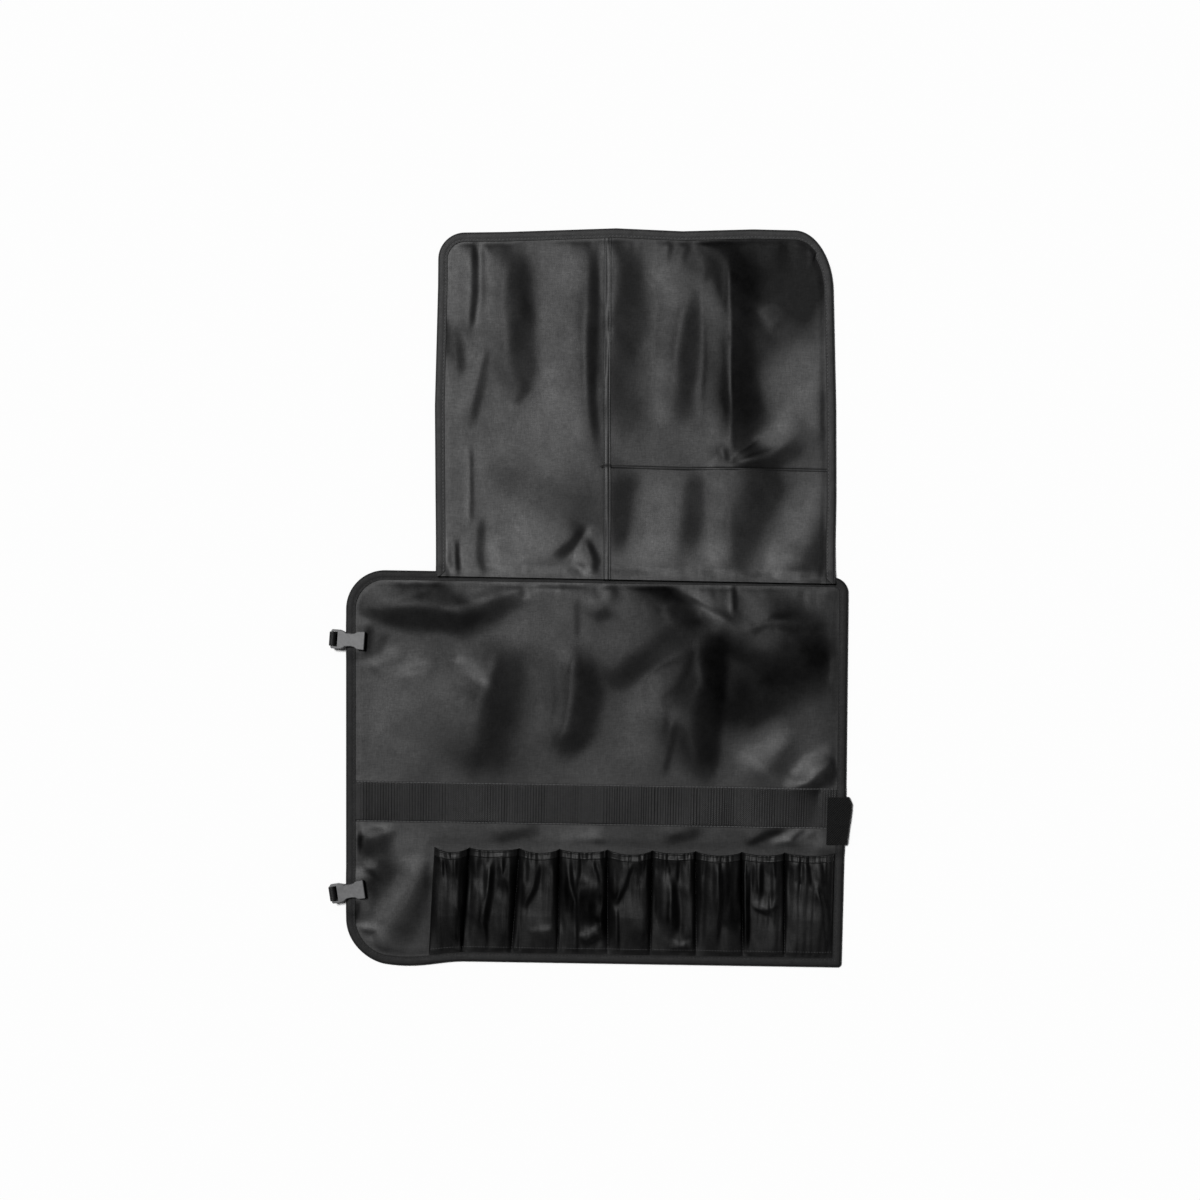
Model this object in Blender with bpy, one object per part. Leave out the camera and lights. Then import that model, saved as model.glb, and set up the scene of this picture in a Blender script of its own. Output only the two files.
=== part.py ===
"""A chef's knife roll that lies open on a surface, with its flap folded up.

The roll is black cloth with taped edges. The main panel carries a row of gathered pockets, a ribbed
webbing band and two buckle halves. Metres, +Z up, +Y towards the flap. The origin is at the centre of
the bounding box, on the surface that the roll lies on.
"""

import math

import bmesh
import bpy
from mathutils import Vector

# Clearance between neighbouring pieces
GAP = 0.0003

# Walls of the cloth, the tapes and the webbing
CLOTH_WALL = 0.0015
TAPE_WALL = 0.0010
POCKET_WALL = 0.0016
WEBBING_WALL = 0.0012

# Width of the folded tape, seen from above
BINDING_WIDTH = 0.0092

# Main panel, flat cut. The right side lies lower than the left by the drop.
PANEL_WIDTH = 0.574
PANEL_DEPTH = 0.445
PANEL_DROP = 0.0092
PANEL_SAG = 0.0060
PANEL_RADIUS_LOWER_LEFT = 0.046
PANEL_RADIUS_LOWER_RIGHT = 0.0030
PANEL_RADIUS_UPPER_LEFT = 0.044
PANEL_RADIUS_UPPER_RIGHT = 0.016

# Flap, and how far it lies over the panel's upper edge
FLAP_WIDTH = 0.458
FLAP_LENGTH = 0.401
FLAP_FROM_LEFT = 0.1020
FLAP_OVERLAP = 0.0072
FLAP_DROP = 0.0090
FLAP_RISE_LENGTH = 0.022
FLAP_RADIUS_LEFT = 0.029
FLAP_RADIUS_RIGHT_ACROSS = 0.043
FLAP_RADIUS_RIGHT_DOWN = 0.066

# Slip pocket on the flap
FLAP_POCKET_WIDTH = 0.259
FLAP_POCKET_DEPTH = 0.1300
FLAP_POCKET_WALL = 0.0011

# Webbing band across the panel
BAND_FROM_BOTTOM = 0.1576
BAND_WIDTH = 0.0472

# Row of gathered pockets
POCKET_ROW_FROM_LEFT = 0.1010
POCKET_DEPTH = 0.1200
POCKET_FOOT = 0.0020
HEM_GAP = 0.0006
GATHERS = 3
GATHER_DEPTH = 0.16
ELASTIC_WIDTH = 0.0100
ELASTIC_WALL = 0.0009

# Strap folded round the right edge
EDGE_STRAP_FROM_BOTTOM = 0.1400
EDGE_STRAP_WIDTH = 0.0545
EDGE_STRAP_LEG = 0.0200
EDGE_STRAP_REACH = 0.0088

# Buckle halves at the left edge and the webbing that holds them
BUCKLE_LENGTH = 0.0385
BUCKLE_WIDTH = 0.0220
BUCKLE_THICKNESS = 0.0072
BUCKLE_WALL = 0.0012
BUCKLE_SIDE_WALL = 0.0024
BUCKLE_BAR = 0.0030
BUCKLE_SLOT = 0.0046
BUCKLE_BRIDGE = 0.0030
BUCKLE_ROUNDING = 0.0008
BUCKLE_OVERHANG = 0.0178
BUCKLE_STRAP_WIDTH = 0.0162
BUCKLE_STRAP_LAP = 0.0200
BUCKLE_STRAP_TAIL = 0.0120

# Clear room beside a strap that passes under the panel, and the slope beyond it
LIFT_MARGIN = 0.0030
LIFT_SLOPE = 0.0070

# Largest step between the points of a cloth grid
PANEL_STEP = 0.031
FLAP_STEP = 0.026

# Steps across a pocket's arch, and the angle below which faces look smooth
ARCH_STEPS = 10
SMOOTH_ANGLE = math.radians(50)

# Height of the panel's underside: it rests on the lower leg of its own tape
BASE = TAPE_WALL + GAP
LIFT = WEBBING_WALL + GAP
PANEL_TOP = BASE + CLOTH_WALL
SEAM_TOP = PANEL_TOP + GAP + TAPE_WALL
BINDING_INNER = PANEL_WIDTH - BINDING_WIDTH

# How far the panel's right side comes in: share of the depth, share of the width
RIGHT_SIDE = (
    (0.00, 0.0140),
    (0.30, 0.0080),
    (0.48, 0.0040),
    (0.95, 0.0000),
)

# How far the flap's sides come in: share of the length, left and right as shares of the width
FLAP_SIDES = (
    (0.00, 0.0035, 0.0040),
    (0.25, 0.0015, 0.0000),
    (0.50, 0.0000, 0.0005),
    (0.85, 0.0080, 0.0070),
    (1.00, 0.0090, 0.0080),
)

# How far the flap's upper edge comes down: share of the width, share of the length
FLAP_UPPER_EDGE = (
    (0.00, 0.0130),
    (0.17, 0.0105),
    (0.45, 0.0000),
    (0.62, 0.0085),
    (0.80, 0.0030),
    (1.00, 0.0085),
)

# Soft folds of the panel: start across and up, end across and up, half width, height. The places are
# shares of the panel's width and depth, the half width and the height are shares of its width.
PANEL_FOLDS = (
    (0.62, 0.97, 0.70, 0.48, 0.085, 0.0125),
    (0.84, 0.92, 0.80, 0.55, 0.090, 0.0125),
    (0.97, 0.52, 0.80, 0.45, 0.080, 0.0090),
    (0.53, 0.85, 0.45, 0.50, 0.090, 0.0090),
    (0.25, 0.88, 0.28, 0.60, 0.080, 0.0110),
    (0.07, 0.93, 0.16, 0.80, 0.055, 0.0080),
    (0.10, 0.55, 0.14, 0.60, 0.070, 0.0070),
    (0.08, 0.32, 0.17, 0.31, 0.050, 0.0060),
    (0.86, 0.325, 0.93, 0.325, 0.045, 0.0060),
    (0.14, 0.24, 0.07, 0.08, 0.070, 0.0110),
)

# Soft folds of the flap, in the same columns, as shares of the flap's width and length
FLAP_FOLDS = (
    (0.425, 0.95, 0.430, 0.10, 0.055, 0.0105),
    (0.735, 0.95, 0.735, 0.36, 0.070, 0.0150),
    (0.720, 0.28, 0.745, 0.06, 0.055, 0.0095),
    (0.770, 0.08, 0.960, 0.25, 0.070, 0.0110),
    (0.090, 0.92, 0.060, 0.50, 0.060, 0.0110),
    (0.280, 0.92, 0.250, 0.35, 0.110, 0.0120),
    (0.600, 0.88, 0.560, 0.40, 0.060, 0.0110),
    (0.900, 0.60, 0.880, 0.40, 0.080, 0.0100),
    (0.080, 0.10, 0.070, 0.04, 0.045, 0.0090),
    (0.340, 0.10, 0.400, 0.05, 0.050, 0.0100),
)

# Upright creases of the flap that its grid follows, as shares of its width
FLAP_CREASES = (0.425, 0.735)

# Pockets from left to right: right divider as a share of the row, lean of its lower end, rise of the
# mouth and dip of the mouth as shares of the mean pocket width, and place and depth of the main fold
# as shares of the pocket's width and rise
POCKETS = (
    (0.0875, -0.15, 0.27, 0.09, 0.62, 0.20),
    (0.2125, -0.16, 0.17, 0.10, 0.30, 0.55),
    (0.3125, -0.02, 0.26, 0.06, 0.40, 0.25),
    (0.4325, 0.04, 0.18, 0.12, 0.45, 0.55),
    (0.5450, -0.02, 0.27, 0.06, 0.55, 0.25),
    (0.6525, 0.06, 0.17, 0.11, 0.50, 0.60),
    (0.7675, 0.08, 0.26, 0.05, 0.60, 0.25),
    (0.8750, 0.05, 0.18, 0.10, 0.45, 0.50),
    (1.0000, 0.00, 0.19, 0.12, 0.55, 0.50),
)

# Rows of a pocket from its hem to its elastic: share of the depth, share of the mouth's rise
POCKET_PROFILE = (
    (0.00, 0.10),
    (0.10, 0.22),
    (0.40, 0.72),
    (0.72, 0.92),
)

# Fold of the edge strap from its lower to its upper side: share of the width, share of the reach
EDGE_STRAP_NOSE = (
    (0.00, 0.46),
    (0.16, 0.56),
    (0.72, 1.00),
    (0.86, 1.00),
    (1.00, 0.60),
)

# Buckle outline from its bar to its mouth: share of the length, share of the half width
BUCKLE_OUTLINE = (
    (0.000, 0.88),
    (0.030, 1.00),
    (0.270, 1.00),
    (0.370, 0.88),
    (0.440, 0.70),
    (0.600, 0.66),
    (0.700, 0.72),
    (0.780, 0.92),
    (0.980, 0.97),
    (1.000, 0.90),
)

# The two buckles: name, height above the panel's lower edge as a share of its depth, turn in degrees
BUCKLES = (
    ("upper", 0.8255, -4.0),
    ("lower", 0.1680, 8.7),
)

# Material name: colour, roughness
MATERIALS = {
    "panel_cloth": ((0.030, 0.030, 0.031), 0.62),
    "flap_cloth": ((0.052, 0.052, 0.054), 0.55),
    "pocket_cloth": ((0.012, 0.012, 0.013), 0.75),
    "binding_tape": ((0.020, 0.020, 0.021), 0.80),
    "webbing": ((0.014, 0.014, 0.015), 0.85),
    "strap_fleece": ((0.006, 0.006, 0.006), 0.95),
    "buckle_plastic": ((0.130, 0.130, 0.132), 0.38),
}


def empty_scene():
    """Removes whatever the file holds before the model is made."""
    for thing in list(bpy.data.objects):
        bpy.data.objects.remove(thing, do_unlink=True)


def material(name):
    """One Principled material, made once and shared by the pieces of the same stuff."""
    if name in bpy.data.materials:
        return bpy.data.materials[name]
    colour, roughness = MATERIALS[name]
    made = bpy.data.materials.new(name)
    made.use_nodes = True
    shader = made.node_tree.nodes["Principled BSDF"]
    shader.inputs["Base Color"].default_value = (*colour, 1.0)
    shader.inputs["Roughness"].default_value = roughness
    shader.inputs["Metallic"].default_value = 0.0
    return made


def solid_object(name, shape, stuff):
    """Turns a bmesh of one closed body into a named object."""
    bmesh.ops.recalc_face_normals(shape, faces=shape.faces)
    mesh = bpy.data.meshes.new(name)
    shape.to_mesh(mesh)
    shape.free()
    mesh.shade_smooth()
    mesh.set_sharp_from_angle(angle=SMOOTH_ANGLE)
    made = bpy.data.objects.new(name, mesh)
    made.data.materials.append(material(stuff))
    bpy.context.scene.collection.objects.link(made)
    return made


def eased(value):
    """Goes from 0 to 1 with level ends."""
    held = min(1.0, max(0.0, value))
    return held * held * (3.0 - 2.0 * held)


def between(table, place, column=1):
    """Reads a column of a table at a place of its first column."""
    if place <= table[0][0]:
        return table[0][column]
    for near, far in zip(table, table[1:]):
        if place <= far[0]:
            share = (place - near[0]) / (far[0] - near[0])
            return near[column] + share * (far[column] - near[column])
    return table[-1][column]


def stations(marks, step):
    """Sorted marks with even stations between them, none further apart than the step."""
    made = []
    for mark in sorted(marks):
        if made and mark - made[-1] < GAP:
            continue
        if made:
            start = made[-1]
            count = math.ceil((mark - start) / step)
            made += [start + (mark - start) * k / count for k in range(1, count)]
        made.append(mark)
    return made


def rounded(x, y, width, depth, corners):
    """Moves a point of a rectangle's grid so that the rectangle's corners are round.

    corners has a pair of radii, across and down, for the lower left, lower right, upper left and
    upper right corner.
    """
    for k, (across, down) in enumerate(corners):
        right, upper = k % 2, k // 2
        a = (width - x if right else x) / across
        b = (depth - y if upper else y) / down
        if a < 1.0 and b < 1.0:
            p, q = 1.0 - a, 1.0 - b
            pull = max(p, q) / math.hypot(p, q)
            a, b = 1.0 - p * pull, 1.0 - q * pull
            x = width - a * across if right else a * across
            y = depth - b * down if upper else b * down
    return x, y


def panel_plan(x, y):
    """Where a point of the flat-cut panel lies, seen from above."""
    corners = (
        (PANEL_RADIUS_LOWER_LEFT, PANEL_RADIUS_LOWER_LEFT),
        (PANEL_RADIUS_LOWER_RIGHT, PANEL_RADIUS_LOWER_RIGHT),
        (PANEL_RADIUS_UPPER_LEFT, PANEL_RADIUS_UPPER_LEFT),
        (PANEL_RADIUS_UPPER_RIGHT, PANEL_RADIUS_UPPER_RIGHT),
    )
    x, y = rounded(x, y, PANEL_WIDTH, PANEL_DEPTH, corners)
    across, up = x / PANEL_WIDTH, y / PANEL_DEPTH
    sag = math.sin(math.pi * min(1.0, across / 0.24)) ** 2 * (1.0 - eased(up / 0.25))
    x -= across * PANEL_WIDTH * between(RIGHT_SIDE, up)
    y -= across * PANEL_DROP + PANEL_SAG * sag
    return x, y


def flap_plan(x, y):
    """Where a point of the flat-cut flap lies, in the panel's own coordinates."""
    corners = (
        (GAP, GAP),
        (GAP, GAP),
        (FLAP_RADIUS_LEFT, FLAP_RADIUS_LEFT),
        (FLAP_RADIUS_RIGHT_ACROSS, FLAP_RADIUS_RIGHT_DOWN),
    )
    x, y = rounded(x, y, FLAP_WIDTH, FLAP_LENGTH, corners)
    across, up = x / FLAP_WIDTH, y / FLAP_LENGTH
    from_left = FLAP_WIDTH * between(FLAP_SIDES, up, 1)
    from_right = FLAP_WIDTH * between(FLAP_SIDES, up, 2)
    x += (1.0 - across) * from_left - across * from_right
    y -= up * FLAP_LENGTH * between(FLAP_UPPER_EDGE, across)
    y -= (1.0 - up) * FLAP_DROP * across
    start = FLAP_FROM_LEFT / PANEL_WIDTH * PANEL_DROP
    return x + FLAP_FROM_LEFT, y + PANEL_DEPTH - start - FLAP_OVERLAP


def fold_height(folds, x, y, width, depth):
    """Sum of the soft folds at a point of a flat-cut sheet."""
    height = 0.0
    for from_x, from_y, to_x, to_y, half_width, rise in folds:
        start = Vector((from_x * width, from_y * depth))
        run = Vector((to_x * width, to_y * depth)) - start
        along = (Vector((x, y)) - start).dot(run) / run.length_squared
        nearest = start + run * min(1.0, max(0.0, along))
        off = (Vector((x, y)) - nearest).length / (half_width * width)
        if off < 1.0:
            height += rise * width * (1.0 - off * off) ** 2
    return height


def inside(value, low, high, slope):
    """1 between low and high, falling straight to 0 within the slope."""
    return max(0.0, min(1.0, 1.0 + (value - low) / slope, 1.0 + (high - value) / slope))


def buckle_centre(height):
    return height * PANEL_DEPTH


def lifted_strips():
    """Boxes of the panel that lie on a strap: low and high place across, low and high place up."""
    strips = []
    for _, height, turn in BUCKLES:
        reach = BUCKLE_STRAP_LAP + BUCKLE_OVERHANG
        swing = abs(math.sin(math.radians(turn))) * reach
        half = BUCKLE_STRAP_WIDTH / 2 + swing + LIFT_MARGIN
        middle = buckle_centre(height)
        strips.append((0.0, BUCKLE_STRAP_LAP + LIFT_MARGIN, middle - half, middle + half))
    start = PANEL_WIDTH - EDGE_STRAP_LEG - LIFT_MARGIN
    low = EDGE_STRAP_FROM_BOTTOM - LIFT_MARGIN
    high = EDGE_STRAP_FROM_BOTTOM + EDGE_STRAP_WIDTH + LIFT_MARGIN
    strips.append((start, PANEL_WIDTH, low, high))
    return strips


def panel_height(x, y):
    """Height of the panel's underside at a point of the flat-cut panel."""
    lift = 0.0
    for low_x, high_x, low_y, high_y in lifted_strips():
        share = inside(x, low_x, high_x, LIFT_SLOPE) * inside(y, low_y, high_y, LIFT_SLOPE)
        lift = max(lift, share)
    edge = BINDING_WIDTH + LIFT_SLOPE
    calm = eased((x - edge) / edge) * eased((PANEL_WIDTH - x - edge) / edge)
    calm *= eased((y - edge) / edge) * eased((PANEL_DEPTH - y - edge) / edge)
    row_top = BINDING_WIDTH + POCKET_DEPTH
    over_row = eased((x - POCKET_ROW_FROM_LEFT + 3 * edge) / (2 * edge))
    over_row *= 1.0 - eased((y - row_top - GAP) / edge)
    calm *= (1.0 - over_row) * (1.0 - min(1.0, 2.0 * lift))
    return BASE + LIFT * lift + calm * fold_height(PANEL_FOLDS, x, y, PANEL_WIDTH, PANEL_DEPTH)


def flap_height(x, y):
    """Height of the flap's underside: on the panel's taped edge at its foot, then down to its own tape."""
    foot = flap_foot()
    on_seam = 1.0 - inside(y, foot + FLAP_RISE_LENGTH, FLAP_LENGTH, FLAP_RISE_LENGTH)
    edge = BINDING_WIDTH + GAP
    calm = eased((x - edge) / edge) * eased((FLAP_WIDTH - x - edge) / edge)
    calm *= eased((y - foot) / FLAP_RISE_LENGTH) * eased((FLAP_LENGTH - y - edge) / edge)
    folds = fold_height(FLAP_FOLDS, x, y, FLAP_WIDTH, FLAP_LENGTH)
    return BASE + on_seam * (SEAM_TOP + GAP - BASE) + calm * folds


def flap_foot():
    """Length of the flap that lies level over the panel's edge and its tape."""
    return FLAP_OVERLAP + TAPE_WALL + LIFT_MARGIN


class Sheet:
    """A grid of points for the lower and the upper face of a cloth sheet."""

    def __init__(self, columns, rows, plan, height, wall):
        self.columns = columns
        self.rows = rows
        self.lower = []
        self.upper = []
        for y in rows:
            spots = [(*plan(x, y), height(x, y)) for x in columns]
            self.lower.append([Vector(p) for p in spots])
            self.upper.append([Vector(p) + Vector((0.0, 0.0, wall)) for p in spots])

    def covering(self, first_column, last_column, first_row, last_row, wall):
        """Lower and upper points of a layer that lies on part of this sheet."""
        lower = []
        for r in range(first_row, last_row + 1):
            run = self.upper[r][first_column : last_column + 1]
            lower.append([p + Vector((0.0, 0.0, GAP)) for p in run])
        upper = [[p + Vector((0.0, 0.0, wall)) for p in row] for row in lower]
        return lower, upper


def around(row_count, column_count):
    """Grid places along the edge of a grid, once round."""
    last_row, last_column = row_count - 1, column_count - 1
    places = [(0, c) for c in range(last_column)]
    places += [(r, last_column) for r in range(last_row)]
    places += [(last_row, c) for c in range(last_column, 0, -1)]
    places += [(r, 0) for r in range(last_row, 0, -1)]
    return places


def layer_solid(name, lower, upper, stuff):
    """A closed sheet between two matching grids of points."""
    shape = bmesh.new()
    grids = [[[shape.verts.new(p) for p in row] for row in grid] for grid in (lower, upper)]
    for grid in grids:
        for near, far in zip(grid, grid[1:]):
            for c in range(len(near) - 1):
                shape.faces.new((near[c], near[c + 1], far[c + 1]))
                shape.faces.new((near[c], far[c + 1], far[c]))
    below, above = grids
    edge = around(len(lower), len(lower[0]))
    for (r, c), (s, d) in zip(edge, edge[1:] + edge[:1]):
        shape.faces.new((below[r][c], below[s][d], above[s][d], above[r][c]))
    return solid_object(name, shape, stuff)


def outward(before, here, after):
    """Unit length step away from a sheet at a point of its edge, lengthened at a corner."""
    steps = [(here - before).xy.normalized(), (after - here).xy.normalized()]
    sides = [Vector((step.y, -step.x)) for step in steps]
    middle = (sides[0] + sides[1]).normalized()
    out = middle / max(0.5, middle.dot(sides[0]))
    return Vector((out.x, out.y, 0.0))


def binding_solid(name, sheet, places, closed, stuff):
    """Tape folded round a sheet's edge: two legs as wide as the edge cells, joined outside the edge."""
    shape = bmesh.new()
    last_row, last_column = len(sheet.rows) - 1, len(sheet.columns) - 1
    rise = Vector((0.0, 0.0, 1.0))
    inner = {}
    rings = []
    for k, (r, c) in enumerate(places):
        before = places[k - 1] if closed or k else places[k]
        after = places[(k + 1) % len(places)] if closed or k + 1 < len(places) else places[k]
        above = sheet.upper[r][c]
        below = sheet.lower[r][c]
        out = edge_direction(sheet, before, (r, c), after)
        key = (min(max(r, 1), last_row - 1), min(max(c, 1), last_column - 1))
        if key not in inner:
            up, down = sheet.upper[key[0]][key[1]], sheet.lower[key[0]][key[1]]
            inner[key] = (
                shape.verts.new(up + rise * (GAP + TAPE_WALL)),
                shape.verts.new(up + rise * GAP),
                shape.verts.new(down - rise * GAP),
                shape.verts.new(down - rise * (GAP + TAPE_WALL)),
            )
        far, near = out * (GAP + TAPE_WALL), out * GAP
        outer = (
            shape.verts.new(above + far + rise * (GAP + TAPE_WALL)),
            shape.verts.new(above + near + rise * GAP),
            shape.verts.new(below + near - rise * GAP),
            shape.verts.new(below + far - rise * (GAP + TAPE_WALL)),
        )
        top_high, top_low, foot_high, foot_low = inner[key]
        rings.append((top_high, outer[0], outer[3], foot_low, foot_high, outer[2], outer[1], top_low))
    pairs = list(zip(rings, rings[1:] + rings[:1])) if closed else list(zip(rings, rings[1:]))
    for ring, following in pairs:
        for k in range(len(ring)):
            corners = [ring[k - 1], ring[k], following[k], following[k - 1]]
            corners = list(dict.fromkeys(corners))
            if len(corners) > 2:
                shape.faces.new(corners)
    if not closed:
        for ring in (rings[0], rings[-1]):
            high, outer_low, foot, top = ring[0:2], ring[2:4], ring[4:6], ring[6:8]
            shape.faces.new((high[0], high[1], top[0], top[1]))
            shape.faces.new((high[1], outer_low[0], foot[1], top[0]))
            shape.faces.new((outer_low[0], outer_low[1], foot[0], foot[1]))
    return solid_object(name, shape, stuff)


def edge_direction(sheet, before, here, after):
    """Outward direction at one edge place, from the places before and after it."""
    spots = [sheet.lower[r][c] for r, c in (before, here, after)]
    if before == here:
        spots[0] = spots[1] - (spots[2] - spots[1])
    if after == here:
        spots[2] = spots[1] + (spots[1] - spots[0])
    return outward(*spots)


def make_panel():
    strips = lifted_strips()
    across = [0.0, BINDING_WIDTH, BINDING_INNER, PANEL_WIDTH]
    up = [0.0, BINDING_WIDTH, PANEL_DEPTH - BINDING_WIDTH, PANEL_DEPTH]
    up += [BAND_FROM_BOTTOM, BAND_FROM_BOTTOM + BAND_WIDTH]
    for low_x, high_x, low_y, high_y in strips:
        across += [place for place in (low_x, low_x - LIFT_SLOPE) if place > 0.0]
        across += [place for place in (high_x, high_x + LIFT_SLOPE) if place < PANEL_WIDTH]
        up += [low_y - LIFT_SLOPE, low_y, high_y, high_y + LIFT_SLOPE]
    columns = stations(across, PANEL_STEP)
    rows = stations(up, PANEL_STEP)
    sheet = Sheet(columns, rows, panel_plan, panel_height, CLOTH_WALL)
    layer_solid("main_panel", sheet.lower, sheet.upper, "panel_cloth")
    edge = around(len(rows), len(columns))
    binding_solid("panel_binding", sheet, edge, True, "binding_tape")
    return sheet


def nearest(values, wanted):
    return min(range(len(values)), key=lambda k: abs(values[k] - wanted))


def make_band(panel):
    """Webbing sewn flat on the panel, between the two legs of its tape."""
    first = nearest(panel.rows, BAND_FROM_BOTTOM)
    last = nearest(panel.rows, BAND_FROM_BOTTOM + BAND_WIDTH)
    left, right = 1, len(panel.columns) - 2
    lower, upper = panel.covering(left, right, first, last, WEBBING_WALL)
    for row in lower + upper:
        row[0].x += GAP
        row[-1].x -= GAP
    layer_solid("webbing_band", lower, upper, "webbing")


def make_flap():
    foot = flap_foot()
    pocket_left = FLAP_WIDTH - BINDING_WIDTH - FLAP_POCKET_WIDTH
    across = [0.0, BINDING_WIDTH, pocket_left, FLAP_WIDTH - BINDING_WIDTH, FLAP_WIDTH]
    across += [crease * FLAP_WIDTH for crease in FLAP_CREASES]
    up = [0.0, foot, foot + FLAP_RISE_LENGTH, FLAP_POCKET_DEPTH, FLAP_LENGTH - BINDING_WIDTH, FLAP_LENGTH]
    columns = stations(across, FLAP_STEP)
    rows = stations(up, FLAP_STEP)
    sheet = Sheet(columns, rows, flap_plan, flap_height, CLOTH_WALL)
    layer_solid("flap", sheet.lower, sheet.upper, "flap_cloth")
    last_row, last_column = len(rows) - 1, len(columns) - 1
    edge = [(r, last_column) for r in range(1, last_row)]
    edge += [(last_row, c) for c in range(last_column, 0, -1)]
    edge += [(r, 0) for r in range(last_row, 0, -1)]
    binding_solid("flap_binding", sheet, edge, False, "binding_tape")
    first = nearest(columns, pocket_left)
    mouth = nearest(rows, FLAP_POCKET_DEPTH)
    lower, upper = sheet.covering(first, last_column - 1, 0, mouth, FLAP_POCKET_WALL)
    for row in lower + upper:
        row[-1].x -= GAP
    layer_solid("flap_pocket", lower, upper, "flap_cloth")


def pocket_grid(left, right, lean_left, lean_right, rise, dip, fold_place, fold_depth):
    """Lower points of one pocket's cloth, from its hem up to its mouth."""
    foot_share = POCKET_FOOT / (right - left)
    steps = [foot_share + (1.0 - 2.0 * foot_share) * k / ARCH_STEPS for k in range(ARCH_STEPS + 1)]
    shares = [0.0] + steps + [1.0]
    hem = BINDING_WIDTH + HEM_GAP
    gathered = POCKET_DEPTH - ELASTIC_WIDTH
    levels = [(share * gathered, part) for share, part in POCKET_PROFILE]
    levels += [(gathered, 0.93), (POCKET_DEPTH, 1.0)]
    grid = []
    for level, part in levels:
        up = level / POCKET_DEPTH
        row = []
        for share in shares:
            arch = (share - foot_share) / (1.0 - 2.0 * foot_share)
            arch = min(1.0, max(0.0, arch))
            curve = math.sin(math.pi * arch)
            crease = max(0.0, 1.0 - abs(arch - fold_place) * ARCH_STEPS / 2.0)
            ripple = GATHER_DEPTH * math.cos(math.tau * GATHERS * arch) * (1.0 - up * up)
            height = part * rise * curve**0.8
            height *= 1.0 - fold_depth * crease * (1.0 - up / 2.0) - ripple
            low_x = left + lean_left * (1.0 - up)
            high_x = right + lean_right * (1.0 - up)
            x = low_x + share * (high_x - low_x)
            y = hem + level - dip * up * curve
            row.append(Vector((*panel_plan(x, y), PANEL_TOP + GAP + height)))
        grid.append(row)
    return grid


def make_pockets():
    """The gathered pockets side by side, and the elastic tape that runs over all their mouths."""
    right_end = BINDING_INNER - HEM_GAP
    row_width = right_end - POCKET_ROW_FROM_LEFT
    mean = row_width / len(POCKETS)
    elastic = [[], []]
    left, lean_left = POCKET_ROW_FROM_LEFT, -0.12 * mean
    for k, (divider, lean, rise, dip, fold_place, fold_depth) in enumerate(POCKETS):
        right = POCKET_ROW_FROM_LEFT + divider * row_width
        lean_right = lean * mean
        grid = pocket_grid(
            left + GAP / 2.0, right - GAP / 2.0, lean_left, lean_right,
            rise * mean, dip * mean, fold_place, fold_depth,
        )
        upper = [[p + Vector((0.0, 0.0, POCKET_WALL)) for p in row] for row in grid]
        layer_solid(f"pocket_{k + 1}", grid, upper, "pocket_cloth")
        for run, row in zip(elastic, upper[-2:]):
            run += [p + Vector((0.0, 0.0, GAP)) for p in row]
        left, lean_left = right, lean_right
    over = [[p + Vector((0.0, 0.0, ELASTIC_WALL)) for p in run] for run in elastic]
    layer_solid("mouth_elastic", elastic, over, "binding_tape")


def ribbon_solid(name, path, width, wall, stations_across, reach_at, stuff):
    """Webbing of even wall along a path of (x, z) points, with its width along y.

    reach_at scales the x of the points beyond x = 0 at a share of the width.
    """
    points = [Vector(p) for p in path]
    lower, upper = [], []
    for k, here in enumerate(points):
        before = points[max(k - 1, 0)]
        after = points[min(k + 1, len(points) - 1)]
        run = (after - before).normalized()
        side = Vector((-run.y, run.x)) * wall / 2.0
        for grid, spot in ((lower, here - side), (upper, here + side)):
            row = []
            for share in stations_across:
                x = spot.x + max(0.0, here.x) * (reach_at(share) - 1.0)
                row.append(Vector((x, share * width, spot.y)))
            grid.append(row)
    return layer_solid(name, lower, upper, stuff)


def arc(centre, radius, start, end, count):
    """Points of a circle's arc, from the start angle to the end angle in degrees."""
    angles = [math.radians(start + (end - start) * k / count) for k in range(count + 1)]
    return [(centre[0] + radius * math.cos(a), centre[1] + radius * math.sin(a)) for a in angles]


def make_edge_strap():
    """Webbing folded round the taped right edge, from under the panel to over the band's end."""
    low_x, low_y = panel_plan(PANEL_WIDTH, EDGE_STRAP_FROM_BOTTOM)
    high_x, high_y = panel_plan(PANEL_WIDTH, EDGE_STRAP_FROM_BOTTOM + EDGE_STRAP_WIDTH)
    seam = LIFT + SEAM_TOP
    band = LIFT + PANEL_TOP + GAP + WEBBING_WALL
    low = WEBBING_WALL / 2.0
    high = max(seam, band) + GAP + WEBBING_WALL / 2.0
    radius = (high - low) / 2.0
    fold = EDGE_STRAP_REACH - WEBBING_WALL / 2.0 - radius
    bend = arc((fold, low + radius), radius, -90, 90, 6)
    path = [(-EDGE_STRAP_LEG, low), *bend, (-EDGE_STRAP_LEG, high)]
    strap = ribbon_solid(
        "edge_strap", path, high_y - low_y, WEBBING_WALL, [share for share, _ in EDGE_STRAP_NOSE],
        lambda share: between(EDGE_STRAP_NOSE, share), "strap_fleece",
    )
    for vert in strap.data.vertices:
        vert.co.x += (high_x - low_x) * vert.co.y / (high_y - low_y)
    strap.location = (low_x, low_y, 0.0)


def box_object(name, low, high):
    """A cutter box between two corners, shown as wire."""
    shape = bmesh.new()
    bmesh.ops.create_cube(shape, size=1.0)
    for vert in shape.verts:
        vert.co = Vector([a + (b - a) * (v + 0.5) for a, b, v in zip(low, high, vert.co)])
    made = solid_object(name, shape, "buckle_plastic")
    made.hide_render = True
    made.display_type = "WIRE"
    return made


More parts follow.
